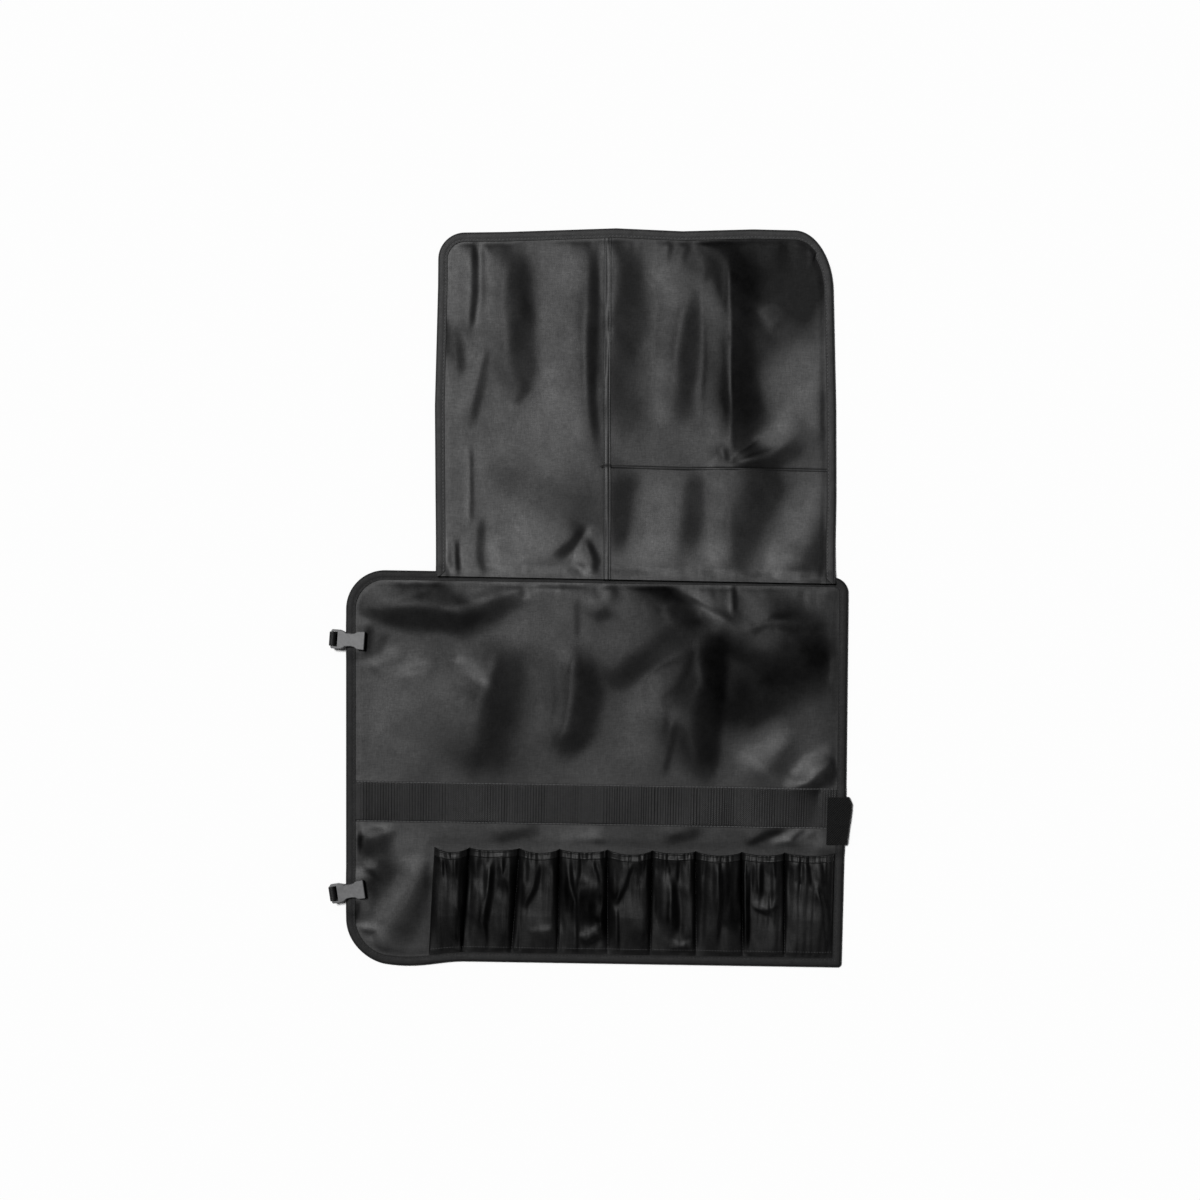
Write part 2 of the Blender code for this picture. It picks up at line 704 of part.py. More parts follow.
def buckle_body(name):
    """The buckle's outer form: its outline drawn up to its thickness, with rounded edges."""
    half = BUCKLE_WIDTH / 2.0
    right = [(x * BUCKLE_LENGTH, -y * half) for x, y in BUCKLE_OUTLINE]
    left = [(x, -y) for x, y in reversed(right)]
    shape = bmesh.new()
    rim = [shape.verts.new((x, y, -BUCKLE_THICKNESS / 2.0)) for x, y in right + left]
    face = shape.faces.new(rim)
    drawn = bmesh.ops.extrude_face_region(shape, geom=[face])
    raised = [part for part in drawn["geom"] if isinstance(part, bmesh.types.BMVert)]
    bmesh.ops.translate(shape, verts=raised, vec=(0.0, 0.0, BUCKLE_THICKNESS))
    body = solid_object(name, shape, "buckle_plastic")
    edges = body.modifiers.new("rounded edges", "BEVEL")
    edges.width = BUCKLE_ROUNDING
    edges.segments = 2
    edges.limit_method = "ANGLE"
    edges.angle_limit = math.radians(60)
    return body


def make_buckle(label, height, turn):
    """One female buckle half, its strap bar to the left and its open mouth to the right."""
    body = buckle_body(f"buckle_{label}")
    inner = BUCKLE_WIDTH / 2.0 - BUCKLE_SIDE_WALL
    beyond = BUCKLE_THICKNESS
    slot_end = BUCKLE_BAR + BUCKLE_SLOT
    cavity = BUCKLE_THICKNESS / 2.0 - BUCKLE_WALL
    half_bar = BUCKLE_BAR / 2.0
    cuts = (
        ("slot", (BUCKLE_BAR, -inner, -beyond), (slot_end, inner, beyond)),
        ("bar_top", (-beyond, -inner, half_bar), (slot_end, inner, beyond)),
        ("bar_foot", (-beyond, -inner, -beyond), (slot_end, inner, -half_bar)),
        (
            "mouth",
            (slot_end + BUCKLE_BRIDGE, -inner, -cavity),
            (BUCKLE_LENGTH + beyond, inner, cavity),
        ),
    )
    bottom = LIFT + SEAM_TOP + GAP
    middle = panel_plan(0.0, buckle_centre(height))
    place = Vector((middle[0] - BUCKLE_OVERHANG, middle[1], bottom + BUCKLE_THICKNESS / 2.0))
    for piece, low, high in cuts:
        cutter = box_object(f"cutter_{label}_{piece}", low, high)
        cutter.parent = body
        cut = body.modifiers.new(piece, "BOOLEAN")
        cut.operation = "DIFFERENCE"
        cut.object = cutter
    body.location = place
    body.rotation_euler = (0.0, 0.0, math.radians(turn))
    return body


def make_buckle_strap(label, height, turn):
    """Webbing from under the panel, up round the buckle's bar and down through its slot."""
    bottom = LIFT + SEAM_TOP + GAP
    bar_z = bottom + BUCKLE_THICKNESS / 2.0
    half_wall = WEBBING_WALL / 2.0
    bar_x = BUCKLE_BAR / 2.0
    radius = math.hypot(BUCKLE_BAR, BUCKLE_BAR) / 2.0 + GAP + half_wall
    end = BUCKLE_OVERHANG + BUCKLE_STRAP_LAP
    tail_z = half_wall + WEBBING_WALL + GAP
    tail_end = BUCKLE_STRAP_TAIL
    slot_x = bar_x + radius
    path = [(end, half_wall), (bar_x, half_wall)]
    path += arc((bar_x, half_wall + radius), radius, 250, 190, 3)
    path += arc((bar_x, bar_z), radius, 180, 0, 8)
    path += arc((slot_x + radius, tail_z + radius), radius, 190, 260, 3)
    path += [(tail_end, tail_z)]
    strap = ribbon_solid(
        f"buckle_strap_{label}", path, BUCKLE_STRAP_WIDTH, WEBBING_WALL, (0.0, 1.0), lambda share: 1.0,
        "webbing",
    )
    for vert in strap.data.vertices:
        vert.co.y -= BUCKLE_STRAP_WIDTH / 2.0
    middle = panel_plan(0.0, buckle_centre(height))
    strap.location = (middle[0] - BUCKLE_OVERHANG, middle[1], 0.0)
    strap.rotation_euler = (0.0, 0.0, math.radians(turn))


def centre_on_origin():
    """Moves every piece so that the model's bounding box is centred on the origin, its foot at zero."""
    bpy.context.view_layer.update()
    pieces = [thing for thing in bpy.context.scene.objects if thing.parent is None]
    spots = [thing.matrix_world @ vert.co for thing in pieces for vert in thing.data.vertices]
    low = Vector([min(p[k] for p in spots) for k in range(3)])
    high = Vector([max(p[k] for p in spots) for k in range(3)])
    shift = Vector((-(low.x + high.x) / 2.0, -(low.y + high.y) / 2.0, -low.z))
    for thing in pieces:
        thing.location += shift


def make_roll():
    empty_scene()
    panel = make_panel()
    make_band(panel)
    make_flap()
    make_pockets()
    make_edge_strap()
    for label, height, turn in BUCKLES:
        make_buckle(label, height, turn)
        make_buckle_strap(label, height, turn)
    centre_on_origin()


make_roll()
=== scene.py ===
"""Looks of the chef's knife roll: fine cloth, tapes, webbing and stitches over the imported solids.

Metres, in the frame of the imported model. Each cloth piece repeats the flat cut of its solid on a fine
grid and adds the folds of the photograph. The folds are drawn on the photograph, in its pixels, as
light and dark strokes. Each stroke gives the slope that the cloth has there along the light, and the
heights are solved from these slopes.
"""

import math

import bpy
import numpy as np
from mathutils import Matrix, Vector


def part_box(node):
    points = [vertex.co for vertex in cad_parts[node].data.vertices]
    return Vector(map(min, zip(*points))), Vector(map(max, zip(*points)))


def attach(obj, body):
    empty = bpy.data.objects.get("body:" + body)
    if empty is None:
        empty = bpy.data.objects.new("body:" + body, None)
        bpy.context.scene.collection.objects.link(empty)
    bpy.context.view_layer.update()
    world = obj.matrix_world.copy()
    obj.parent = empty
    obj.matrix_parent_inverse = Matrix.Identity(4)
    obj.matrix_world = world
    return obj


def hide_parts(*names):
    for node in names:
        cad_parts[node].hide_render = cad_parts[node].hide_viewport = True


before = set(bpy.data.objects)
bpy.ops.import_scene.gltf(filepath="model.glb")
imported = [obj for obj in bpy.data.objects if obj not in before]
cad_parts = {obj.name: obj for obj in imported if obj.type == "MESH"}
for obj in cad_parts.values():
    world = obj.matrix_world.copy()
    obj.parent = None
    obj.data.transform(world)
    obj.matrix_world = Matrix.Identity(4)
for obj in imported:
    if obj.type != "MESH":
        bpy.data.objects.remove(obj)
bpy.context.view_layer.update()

# The photograph: metres for each pixel, and the pixel over the model's origin
PIXEL = 0.00115
PIXEL_ACROSS = 590.5
PIXEL_DOWN = 598.0
PHOTO_SIDE = 1200
CAMERA_HEIGHT = 2.5

# Clearance and walls
GAP = 0.0003
CLOTH_WALL = 0.0015
TAPE_WALL = 0.0010
POCKET_WALL = 0.0016
WEBBING_WALL = 0.0012
FLAP_POCKET_WALL = 0.0011
ELASTIC_WALL = 0.0009
BINDING_WIDTH = 0.0092

# Main panel, flat cut
PANEL_WIDTH = 0.574
PANEL_DEPTH = 0.445
PANEL_DROP = 0.0092
PANEL_SAG = 0.0060
PANEL_CORNERS = ((0.046, 0.046), (0.003, 0.003), (0.044, 0.044), (0.016, 0.016))
RIGHT_SIDE = ((0.00, 0.0140), (0.30, 0.0080), (0.48, 0.0040), (0.95, 0.0000))

# Flap, flat cut
FLAP_WIDTH = 0.458
FLAP_LENGTH = 0.401
FLAP_FROM_LEFT = 0.1020
FLAP_OVERLAP = 0.0072
FLAP_DROP = 0.0090
FLAP_RISE_LENGTH = 0.022
FLAP_FOOT_BULGE = 0.0042
FLAP_FOOT_LENGTH = 0.018
FLAP_CORNERS = ((GAP, GAP), (GAP, GAP), (0.029, 0.029), (0.043, 0.066))
FLAP_SIDES = (
    (0.00, 0.0035, 0.0040),
    (0.25, 0.0015, 0.0000),
    (0.50, 0.0000, 0.0005),
    (0.85, 0.0080, 0.0070),
    (1.00, 0.0090, 0.0080),
)
FLAP_UPPER_EDGE = (
    (0.00, 0.0130),
    (0.17, 0.0105),
    (0.45, 0.0000),
    (0.62, 0.0085),
    (0.80, 0.0030),
    (1.00, 0.0085),
)
FLAP_POCKET_WIDTH = 0.259
FLAP_POCKET_DEPTH = 0.1300
FLAP_START = 0.0030
SEAM_FOLD_IN = 0.0022
SEAM_FOLD_WIDTH = 0.0085
SEAM_FOLD_WALL = 0.0007

# Webbing band, pocket row, straps and buckles
BAND_FROM_BOTTOM = 0.1576
BAND_WIDTH = 0.0469
RIB_PITCH = 0.0031
RIB_HEIGHT = 0.00026
SELVEDGE = 0.022
POCKET_ROW_FROM_LEFT = 0.1010
POCKET_DEPTH = 0.1200
HEM_GAP = 0.0006
HEM_BEADS = (0.15, 0.85)
ELASTIC_WIDTH = 0.0085
EDGE_STRAP_FROM_BOTTOM = 0.1400
EDGE_STRAP_WIDTH = 0.0545
EDGE_STRAP_LEG = 0.0200
EDGE_STRAP_REACH = 0.0088
BUCKLE_THICKNESS = 0.0072
BUCKLE_BAR = 0.0030
BUCKLE_OVERHANG = 0.0178
BUCKLE_STRAP_WIDTH = 0.0162
BUCKLE_STRAP_LAP = 0.0200
BUCKLE_STRAP_TAIL = 0.0120
BUCKLES = (("upper", 0.8255, -4.0), ("lower", 0.1680, 8.7))
LIFT_MARGIN = 0.0030
LIFT_SLOPE = 0.0070

# Pockets: right divider as a share of the row, then lean of its lower end, rise and dip of the mouth as
# shares of the mean pocket width
POCKETS = (
    (0.0875, -0.15, 0.27, 0.08),
    (0.2125, -0.16, 0.17, 0.04),
    (0.3125, -0.02, 0.26, 0.07),
    (0.4325, 0.04, 0.18, 0.05),
    (0.5450, -0.02, 0.27, 0.07),
    (0.6525, 0.06, 0.17, 0.04),
    (0.7675, 0.08, 0.26, 0.06),
    (0.8750, 0.05, 0.18, 0.05),
    (1.0000, 0.00, 0.19, 0.05),
)
POCKET_FIRST_LEAN = -0.12

# Rise of a pocket from its hem to its mouth: share of the depth, share of the mouth's rise
POCKET_PROFILE = ((0.00, 0.10), (0.09, 0.24), (0.37, 0.72), (0.66, 0.92), (1.00, 1.00))

# Steps of the grids
PANEL_STEP = 0.0026
FLAP_STEP = 0.0022
BINDING_STEP = 0.0024
POCKET_COLUMNS = 42
POCKET_ROWS = 88

# Light and dark strokes of the flap as the photograph shows them. Each row: the points of the stroke's
# line, running down or to the left, each with its column and row in pixels and the share of the width
# there; then the stroke's width in pixels on its upper left and on its lower right side, and its tone,
# above zero where the cloth turns to the light.
FLAP_TONES = (
    (((463, 238, 1), (464, 300, 1), (461, 345, 0.5)), 10, 8, 0.7),
    (((475, 234, 0.7), (476, 290, 1), (471, 335, 0.6)), 4, 4, -1.5),
    (((483, 236, 1), (484, 300, 1), (478, 330, 0.5)), 3, 3.5, 1.1),
    (((447, 315, 0.6), (448, 340, 1), (448, 360, 0.6)), 5, 6, -0.9),
    (((458, 320, 0.8), (461, 350, 1), (463, 378, 0.6)), 6, 6, -1.0),
    (((493, 250, 1), (494, 310, 1), (500, 380, 0.7)), 8, 9, 0.35),
    (((517, 250, 0.6), (522, 300, 1), (526, 340, 1), (527, 372, 0.9), (522, 400, 0.5)), 14, 12, -1.1),
    (((528, 250, 1), (531, 330, 1)), 8, 10, -0.4),
    (((528, 385, 1), (516, 405, 0.6)), 6, 6, -0.6),
    (((489, 345, 0.6), (481, 385, 1), (471, 428, 0.8)), 4, 7, -0.9),
    (((482, 340, 1), (470, 390, 1), (458, 420, 1)), 8, 5, 0.5),
    (((560, 238, 1), (562, 340, 1), (556, 455, 1)), 26, 24, 0.35),
    (((573, 260, 1), (572, 290, 1)), 8, 8, 0.3),
    (((520, 420, 1), (505, 450, 1)), 30, 30, 0.2),
    (((594, 240, 0.8), (595, 280, 1), (593, 330, 1), (592, 400, 0.7), (597, 455, 0.6)), 7, 5, -1.5),
    (((607, 236, 1), (608, 290, 1), (611, 318, 0.5)), 5, 5, 1.0),
    (((612, 326, 1), (608, 345, 0.5), (606, 380, 0.3)), 5, 4, 0.8),
    ((
        (626, 240, 0.6), (631, 270, 0.8), (632, 325, 1.2),
        (626, 345, 1.2), (628, 400, 1.1), (632, 445, 0.7),
    ), 18, 19, -1),
    (((664, 240, 1), (668, 320, 1), (664, 420, 1)), 18, 12, 0.5),
    (((669, 362, 0.8), (668, 395, 1), (663, 425, 0.6)), 10, 9, 0.5),
    (((672, 240, 1), (668, 262, 0.6)), 4, 5, -0.7),
    (((690, 242, 1), (683, 262, 0.5)), 4, 4, -0.5),
    (((697, 292, 0.4), (694, 330, 0.9), (687, 380, 1.2), (676, 425, 0.8)), 12, 9, -1.1),
    (((716, 240, 1), (716, 330, 1), (714, 450, 1)), 11, 10, 0.6),
    (((728, 246, 1), (728.5, 330, 1), (727.5, 455, 0.7)), 2.2, 1.8, 1.1),
    (((732, 234, 1), (733, 330, 1), (733, 458, 0.8)), 3, 22, -1.5),
    (((760, 236, 1), (760, 305, 0.9)), 40, 46, -1.3),
    (((800, 238, 1), (806, 300, 0.8)), 38, 27, -1.1),
    (((752, 330, 1), (745, 400, 1.1), (740, 450, 0.5)), 22, 22, -0.8),
    (((815, 328, 1), (765, 334, 1)), 18, 14, -0.8),
    (((780, 306, 0.7), (762, 320, 1)), 12, 12, 0.9),
    (((826, 255, 1), (818, 290, 0.6)), 5, 5, -0.5),
    (((822, 345, 0.7), (800, 372, 1), (775, 410, 1)), 24, 22, 0.8),
    (((818, 380, 1), (815, 430, 1)), 8, 6, 0.3),
    (((795, 428, 1.5), (765, 442, 1), (732, 461, 0.4)), 10, 7, 1.0),
    (((800, 440, 1.1), (770, 462, 1), (735, 466, 0.4)), 5, 9, -1.2),
    (((788, 468, 1.2), (766, 495, 1.2), (748, 535, 1), (738, 578, 0.7)), 23, 20, -1.2),
    (((818, 475, 1.2), (795, 515, 1.2), (772, 555, 1), (752, 580, 0.6)), 15, 16, 0.9),
    (((834, 530, 0.5), (822, 555, 1), (805, 580, 1.2)), 11, 16, -1.1),
    (((627, 472, 1.3), (622, 510, 1), (618, 552, 0.5)), 12, 12, -1.1),
    (((655, 475, 1), (656, 520, 1.1), (655, 570, 1.1)), 18, 17, 0.5),
    (((697, 474, 0.6), (693, 520, 1), (688, 555, 0.8)), 12, 12, -0.8),
    (((716, 470, 0.9), (719, 520, 1), (719, 572, 1)), 10, 9, 0.75),
    (((717, 456, 0.6), (710, 470, 1)), 4, 4, 0.8),
    (((724, 448, 1), (727, 462, 1)), 3, 3, -1.0),
    (((520, 470, 1), (495, 520, 1)), 44, 30, 0.25),
    (((602, 524, 1.3), (570, 508, 1.1), (530, 490, 0.9), (490, 466, 0.5)), 18, 22, -0.55),
    (((560, 520, 1), (520, 545, 1), (480, 560, 0.8)), 18, 18, 0.4),
    (((583, 527, 0.8), (573, 543, 1), (556, 556, 0.9)), 5, 6, -1.5),
    (((590, 525, 0.6), (578, 548, 1), (574, 562, 0.6)), 4, 5, 1.1),
    (((588, 540, 0.7), (596, 560, 1), (594, 576, 0.6)), 4, 4, -1.5),
    (((579, 556, 1), (586, 574, 0.8)), 5, 5, 0.8),
    (((467, 446, 1), (468, 526, 0.8)), 2.5, 2.5, 0.9),
    (((471, 444, 1), (472, 528, 0.8)), 2.5, 3, -1.0),
    (((449, 538, 1), (450, 575, 1)), 4, 4, 0.8),
    (((458, 540, 0.8), (459, 577, 1)), 2.2, 2.6, -1.8),
    (((464, 545, 1), (466, 575, 1)), 4, 4, 0.7),
    (((483, 520, 0.6), (482, 555, 1), (485, 577, 1)), 6, 5, -1.1),
    (((494, 540, 1), (496, 574, 1)), 6, 5, 0.5),
)

# Strokes of the main panel, in the same columns
PANEL_TONES = (
    (((431, 583, 0.8), (400, 591, 1), (378, 600, 0.8)), 9, 7, 0.9),
    (((524, 584, 0.8), (492, 592, 1), (462, 598, 0.8)), 6, 6, 0.9),
    (((588, 585, 1), (555, 584, 1), (527, 583, 0.8)), 4, 6, 0.8),
    (((532, 590, 1), (525, 598, 0.7)), 3, 5, 0.5),
    ((
        (530, 594, 0.6), (503, 603, 0.9), (482, 615, 1.1), (459, 622, 1),
        (431, 616, 1), (397, 616, 0.8), (366, 613, 0.5),
    ), 10, 13, -1),
    (((482, 614, 1), (462, 622, 1)), 6, 6, -0.5),
    (((368, 625, 1), (367, 655, 1)), 4, 6, -0.9),
    (((397, 648, 1), (366, 664, 1)), 6, 6, 0.6),
    (((384, 634, 1), (379, 655, 0.7)), 5, 6, -0.6),
    (((430, 664, 0.7), (397, 674, 1)), 6, 6, 0.6),
    (((490, 684, 0.7), (474, 670, 1), (456, 660, 0.8)), 8, 8, 1.1),
    (((509, 648, 0.7), (500, 690, 1), (490, 740, 1.1), (482, 782, 1)), 14, 26, -1),
    (((471, 700, 1), (472, 722, 1)), 3, 3, 0.4),
    (((563, 640, 1), (564, 700, 1), (555, 745, 0.6)), 9, 8, 0.5),
    (((584, 650, 0.6), (586, 690, 1), (580, 730, 1), (565, 762, 0.7)), 12, 13, -1.1),
    (((606, 590, 1), (590, 600, 1)), 7, 6, 0.6),
    (((608, 612, 1), (596, 618, 1)), 5, 6, -0.7),
    (((577, 600, 1), (577, 640, 0.6)), 4, 5, -0.5),
    (((725, 619, 0.8), (712, 611, 1), (699, 604, 1), (680, 598, 0.6)), 3.5, 4, 1.2),
    (((718, 596, 1), (685, 592, 1)), 7, 6, 0.4),
    (((702, 612, 0.9), (680, 606, 1), (664, 612, 0.8)), 6, 8, -0.8),
    (((697, 620, 1), (672, 642, 1), (647, 661, 1), (612, 684, 0.7)), 12, 12, -0.9),
    (((694, 640, 1), (672, 665, 1.1), (650, 690, 1)), 16, 14, 0.55),
    (((676, 718, 0.8), (672, 745, 1), (664, 775, 0.8)), 4, 5, -0.8),
    (((716, 622, 0.9), (716, 650, 1), (712, 700, 1.1), (708, 750, 1.1), (706, 785, 0.9)), 12, 9, -1.8),
    (((735, 630, 1), (728, 700, 1), (724, 740, 0.8)), 12, 14, -0.5),
    (((729, 584, 1), (729, 614, 1)), 2, 2, 0.7),
    (((733, 584, 1), (733, 614, 1)), 2, 2.5, -1.1),
    (((765, 594, 1), (752, 625, 0.8)), 14, 12, 0.8),
    (((800, 600, 1), (790, 618, 1)), 22, 18, 0.3),
    (((828, 637, 1.1), (800, 660, 1.2), (768, 690, 1), (738, 735, 0.7)), 22, 25, -1.3),
    (((826, 648, 1), (806, 656, 1)), 10, 10, -0.6),
    (((765, 624, 1), (752, 630, 1)), 4, 5, -0.9),
    (((828, 626, 1), (790, 628, 1), (770, 622, 0.8)), 4, 6, -0.7),
    (((834, 655, 1), (832, 684, 1)), 4, 4, 0.5),
    (((785, 728, 1), (765, 742, 1.1), (742, 762, 1)), 13, 13, 0.9),
    (((828, 752, 0.9), (810, 764, 1), (795, 785, 1)), 9, 9, 1.3),
    (((802, 776, 1), (786, 786, 1)), 6, 6, 0.6),
    (((836, 770, 1), (822, 780, 1)), 6, 6, -1.1),
    (((650, 700, 1), (630, 760, 1)), 20, 20, 0.3),
    (((540, 660, 1), (520, 760, 1)), 14, 14, 0.25),
    (((430, 690, 1), (380, 750, 1)), 34, 30, 0.2),
    (((786, 830, 0.7), (769, 834, 1), (749, 845, 0.8)), 3.5, 4, -1.6),
    (((786, 836, 1), (772, 842, 1)), 3.5, 4, 0.9),
    (((816, 829, 0.8), (797, 834, 1), (786, 844, 1)), 6, 6, 0.9),
    (((806, 831, 0.7), (798, 835, 1), (791, 843, 0.8)), 1.6, 2, -1.3),
    (((826, 838, 1), (805, 846, 1)), 6, 6, 0.5),
    (((822, 784, 1), (796, 788, 0.8)), 3, 4, -1.1),
    (((700, 832, 1), (670, 838, 1)), 5, 6, -0.7),
    (((600, 834, 1), (560, 838, 1)), 6, 7, 0.5),
    (((540, 830, 1), (500, 838, 1)), 5, 6, -0.6),
    (((392, 827, 0.7), (372, 830, 1), (356, 832, 0.8)), 5, 6, 0.9),
    (((390, 842, 1), (364, 846, 1)), 9, 10, -1),
    (((376, 860, 0.8), (366, 868, 1), (356, 878, 0.8)), 4, 5, 1.1),
    (((394, 862, 0.7), (382, 878, 1.1), (368, 895, 1)), 13, 13, -0.9),
    (((358, 902, 1), (352, 922, 1)), 6, 6, -1.4),
    (((370, 923, 1), (354, 926, 1)), 3.5, 4, 0.8),
    (((428, 848, 0.9), (412, 880, 1), (396, 909, 1), (368, 946, 0.8)), 13, 12, 0.6),
    (((430, 868, 0.7), (414, 902, 1), (394, 942, 1)), 10, 13, -1),
    (((432, 838, 1), (396, 842, 1)), 8, 8, 0.25),
)

# Strokes of the pocket strip, in the same columns
POCKET_TONES = (
    (((444, 858, 1), (444, 876, 0.3)), 1.6, 2, -1.6),
    (((457.5, 858, 1), (457, 877, 0.4)), 2, 2.4, -1.6),
    (((451, 857, 1), (451, 880, 0.5)), 3, 3, 0.9),
    (((440, 862, 1), (440, 886, 0.6)), 2.5, 2.5, 0.7),
    (((438.5, 886, 1), (438.5, 950, 1)), 1.3, 1.3, 0.8),
    (((441, 890, 1), (441, 950, 1)), 1.5, 1.5, -0.7),
    (((451, 880, 1), (450, 945, 1)), 8, 7, 0.35),
    (((462, 900, 1), (461, 950, 1)), 1.5, 2.5, -1.8),
    (((468, 855, 1.3), (467, 890, 1), (463, 925, 0.8), (462, 955, 0.7)), 3.2, 3.2, -2.6),
    (((473, 858, 1), (472, 900, 1), (469, 945, 1)), 3, 3, 0.8),
    (((479, 857, 1.2), (479, 880, 0.5)), 1.8, 2.2, -1.5),
    (((484, 858, 1), (484, 895, 1)), 3, 3, 0.7),
    (((494.5, 857, 1), (491, 888, 1), (485.5, 922, 1), (487, 946, 0.5)), 2, 3.2, -2.2),
    (((489.5, 862, 1), (486, 895, 0.8)), 2, 2, 1.0),
    (((500, 860, 1), (500, 880, 1)), 2.6, 2.6, 0.9),
    (((504.5, 857, 1), (504, 873, 0.4)), 1.6, 2, -1.5),
    (((504, 885, 1), (501, 935, 1)), 7, 6, 0.5),
    (((517, 856, 1.3), (514, 900, 1), (511, 930, 1), (508, 955, 0.7)), 3, 3.5, -2.4),
    (((522, 862, 1), (520, 905, 0.7)), 2, 2, 0.7),
    (((526, 860, 1), (525, 880, 0.6)), 2, 2, -1.0),
    (((530, 858, 1), (528, 885, 0.6)), 2.4, 2.4, 0.8),
    (((542, 860, 0.8), (536, 886, 1), (525, 907, 0.7)), 1.8, 3, -2.0),
    (((547, 862, 1), (545, 900, 1), (543, 935, 1)), 8, 8, 0.55),
    (((533, 912, 1), (533, 945, 1)), 8, 8, 0.35),
    (((556, 924, 1), (530, 928, 1)), 3, 4, 0.5),
    (((558.5, 853, 1), (558.5, 900, 1), (558, 956, 0.7)), 2.4, 2.6, -2.4),
    (((563, 858, 1), (563, 930, 0.8)), 2.2, 2.2, 0.8),
    (((571, 858, 1), (573, 880, 1), (576, 900, 0.5)), 1.8, 2.2, -1.4),
    (((577, 892, 1), (577, 955, 1)), 1.2, 1.6, -1.4),
    (((575, 895, 1), (575, 950, 1)), 1.3, 1.3, 0.8),
    (((581, 857, 1), (580.5, 876, 0.4)), 1.6, 2, -1.6),
    (((587, 858, 1), (586, 880, 0.7)), 3, 3, 0.9),
    (((593, 858, 1), (599, 880, 0.6)), 1.6, 2, -1.1),
    (((590, 888, 1), (588, 922, 0.8)), 8, 8, -1.2),
    (((602, 922, 0.8), (590, 930, 1), (578, 934, 0.8)), 2, 3, 0.7),
    (((598, 936, 1), (586, 943, 1)), 3, 3.4, -1.3),
    (((604, 938, 1), (596, 950, 1)), 3, 3, 0.35),
    (((601, 860, 1), (603, 915, 1)), 2, 2, 0.6),
    (((606, 853, 1), (606, 900, 1), (604, 945, 0.8)), 2.6, 2.8, -2.5),
    (((611, 860, 1), (612, 890, 1)), 2.4, 2.4, 0.8),
    (((632, 861, 0.8), (625, 885, 1), (616, 904, 0.8)), 1.8, 2.8, -2.2),
    (((622, 860, 1), (618, 884, 0.8)), 3, 2.5, 1.0),
    (((618, 906, 1), (618, 952, 1)), 1.3, 1.6, -1.4),
    (((641, 858, 1), (638, 885, 0.6)), 1.8, 2, -1.3),
    (((636, 870, 1), (634, 935, 1)), 9, 9, 0.5),
    (((646, 860, 1), (645, 920, 1)), 1.6, 1.8, 0.5),
    (((650, 853, 1.1), (650, 900, 1.2), (648, 955, 0.8)), 2.8, 3, -2.6),
    (((659, 862, 1), (661, 935, 1)), 5, 5, 0.6),
    (((667, 858, 1), (669, 872, 0.4)), 1.6, 2, -1.4),
    (((673, 880, 0.6), (674, 905, 1), (674, 932, 1.1)), 3.2, 4.4, -2.2),
    (((671, 882, 1), (670, 900, 1)), 1.4, 1.4, 0.9),
    (((678, 857, 1), (677, 880, 0.5)), 1.8, 2.2, -1.6),
    (((684, 860, 0.7), (686, 900, 1), (688, 936, 1)), 4, 3.6, 0.9),
    (((691, 938, 0.9), (680, 943, 1), (671, 938, 0.7)), 3, 3.4, 0.5),
    (((690, 948, 1), (672, 949, 1)), 3, 3, -0.6),
    (((694, 854, 1), (695, 900, 1), (693, 955, 0.8)), 2.2, 2.6, -2.4),
    (((706, 860, 1), (708, 900, 1), (706, 940, 1)), 7, 8, 0.6),
    (((701, 858, 1), (702, 875, 0.5)), 1.6, 2, -1.2),
    (((719.5, 858, 1), (719, 905, 1), (716, 945, 0.6)), 2, 3.4, -2.2),
    (((716, 862, 1), (715, 900, 1)), 1.5, 1.5, 0.9),
    (((728, 862, 1), (730, 930, 1)), 5, 6, -0.9),
    (((739, 900, 1), (741, 935, 1)), 2, 2, 0.8),
    (((722, 925, 1), (724, 950, 1)), 3, 3, 0.5),
    (((747, 856, 1.2), (747, 900, 1), (747, 955, 0.7)), 2.8, 3, -2.6),
    (((752, 862, 1), (753, 940, 1)), 2.6, 2.6, 0.7),
    (((760.5, 862, 1), (760, 896, 0.8)), 2, 3, -2.0),
    (((767, 862, 1), (768, 892, 0.9)), 3.4, 3.4, 0.9),
    (((773, 858, 1), (774, 876, 0.4)), 1.6, 2, -1.3),
    (((776, 893, 0.7), (766, 905, 1), (754, 900, 0.7)), 2.6, 3, 0.5),
    (((776, 905, 0.6), (765, 912, 1), (755, 908, 0.6)), 2, 2.6, -1.1),
    (((767, 922, 1), (766, 948, 1)), 10, 10, 0.4),
    (((784, 854, 1.1), (785, 900, 1), (784, 955, 0.8)), 2.4, 2.8, -2.4),
    (((780, 862, 1), (780, 935, 1)), 1.6, 1.6, 0.7),
    (((796, 862, 1), (794, 882, 0.4)), 2, 2.4, -1.5),
    (((808, 864, 1), (809, 884, 0.5)), 1.8, 2, -1.4),
    (((802, 862, 1), (801, 884, 0.8)), 2.6, 2.6, 0.9),
    (((821, 862, 0.8), (822, 884, 1)), 1.8, 2, -1.3),
    (((814, 862, 1), (814, 885, 0.8)), 2.6, 2.6, 0.7),
    (((817, 884, 0.5), (823, 905, 1), (826, 935, 0.9), (825, 955, 0.6)), 1.6, 2.6, -1.9),
    (((800, 900, 1), (802, 945, 1)), 12, 12, 0.35),
    (((791, 870, 1), (790, 930, 1)), 2, 2, 0.6),
)

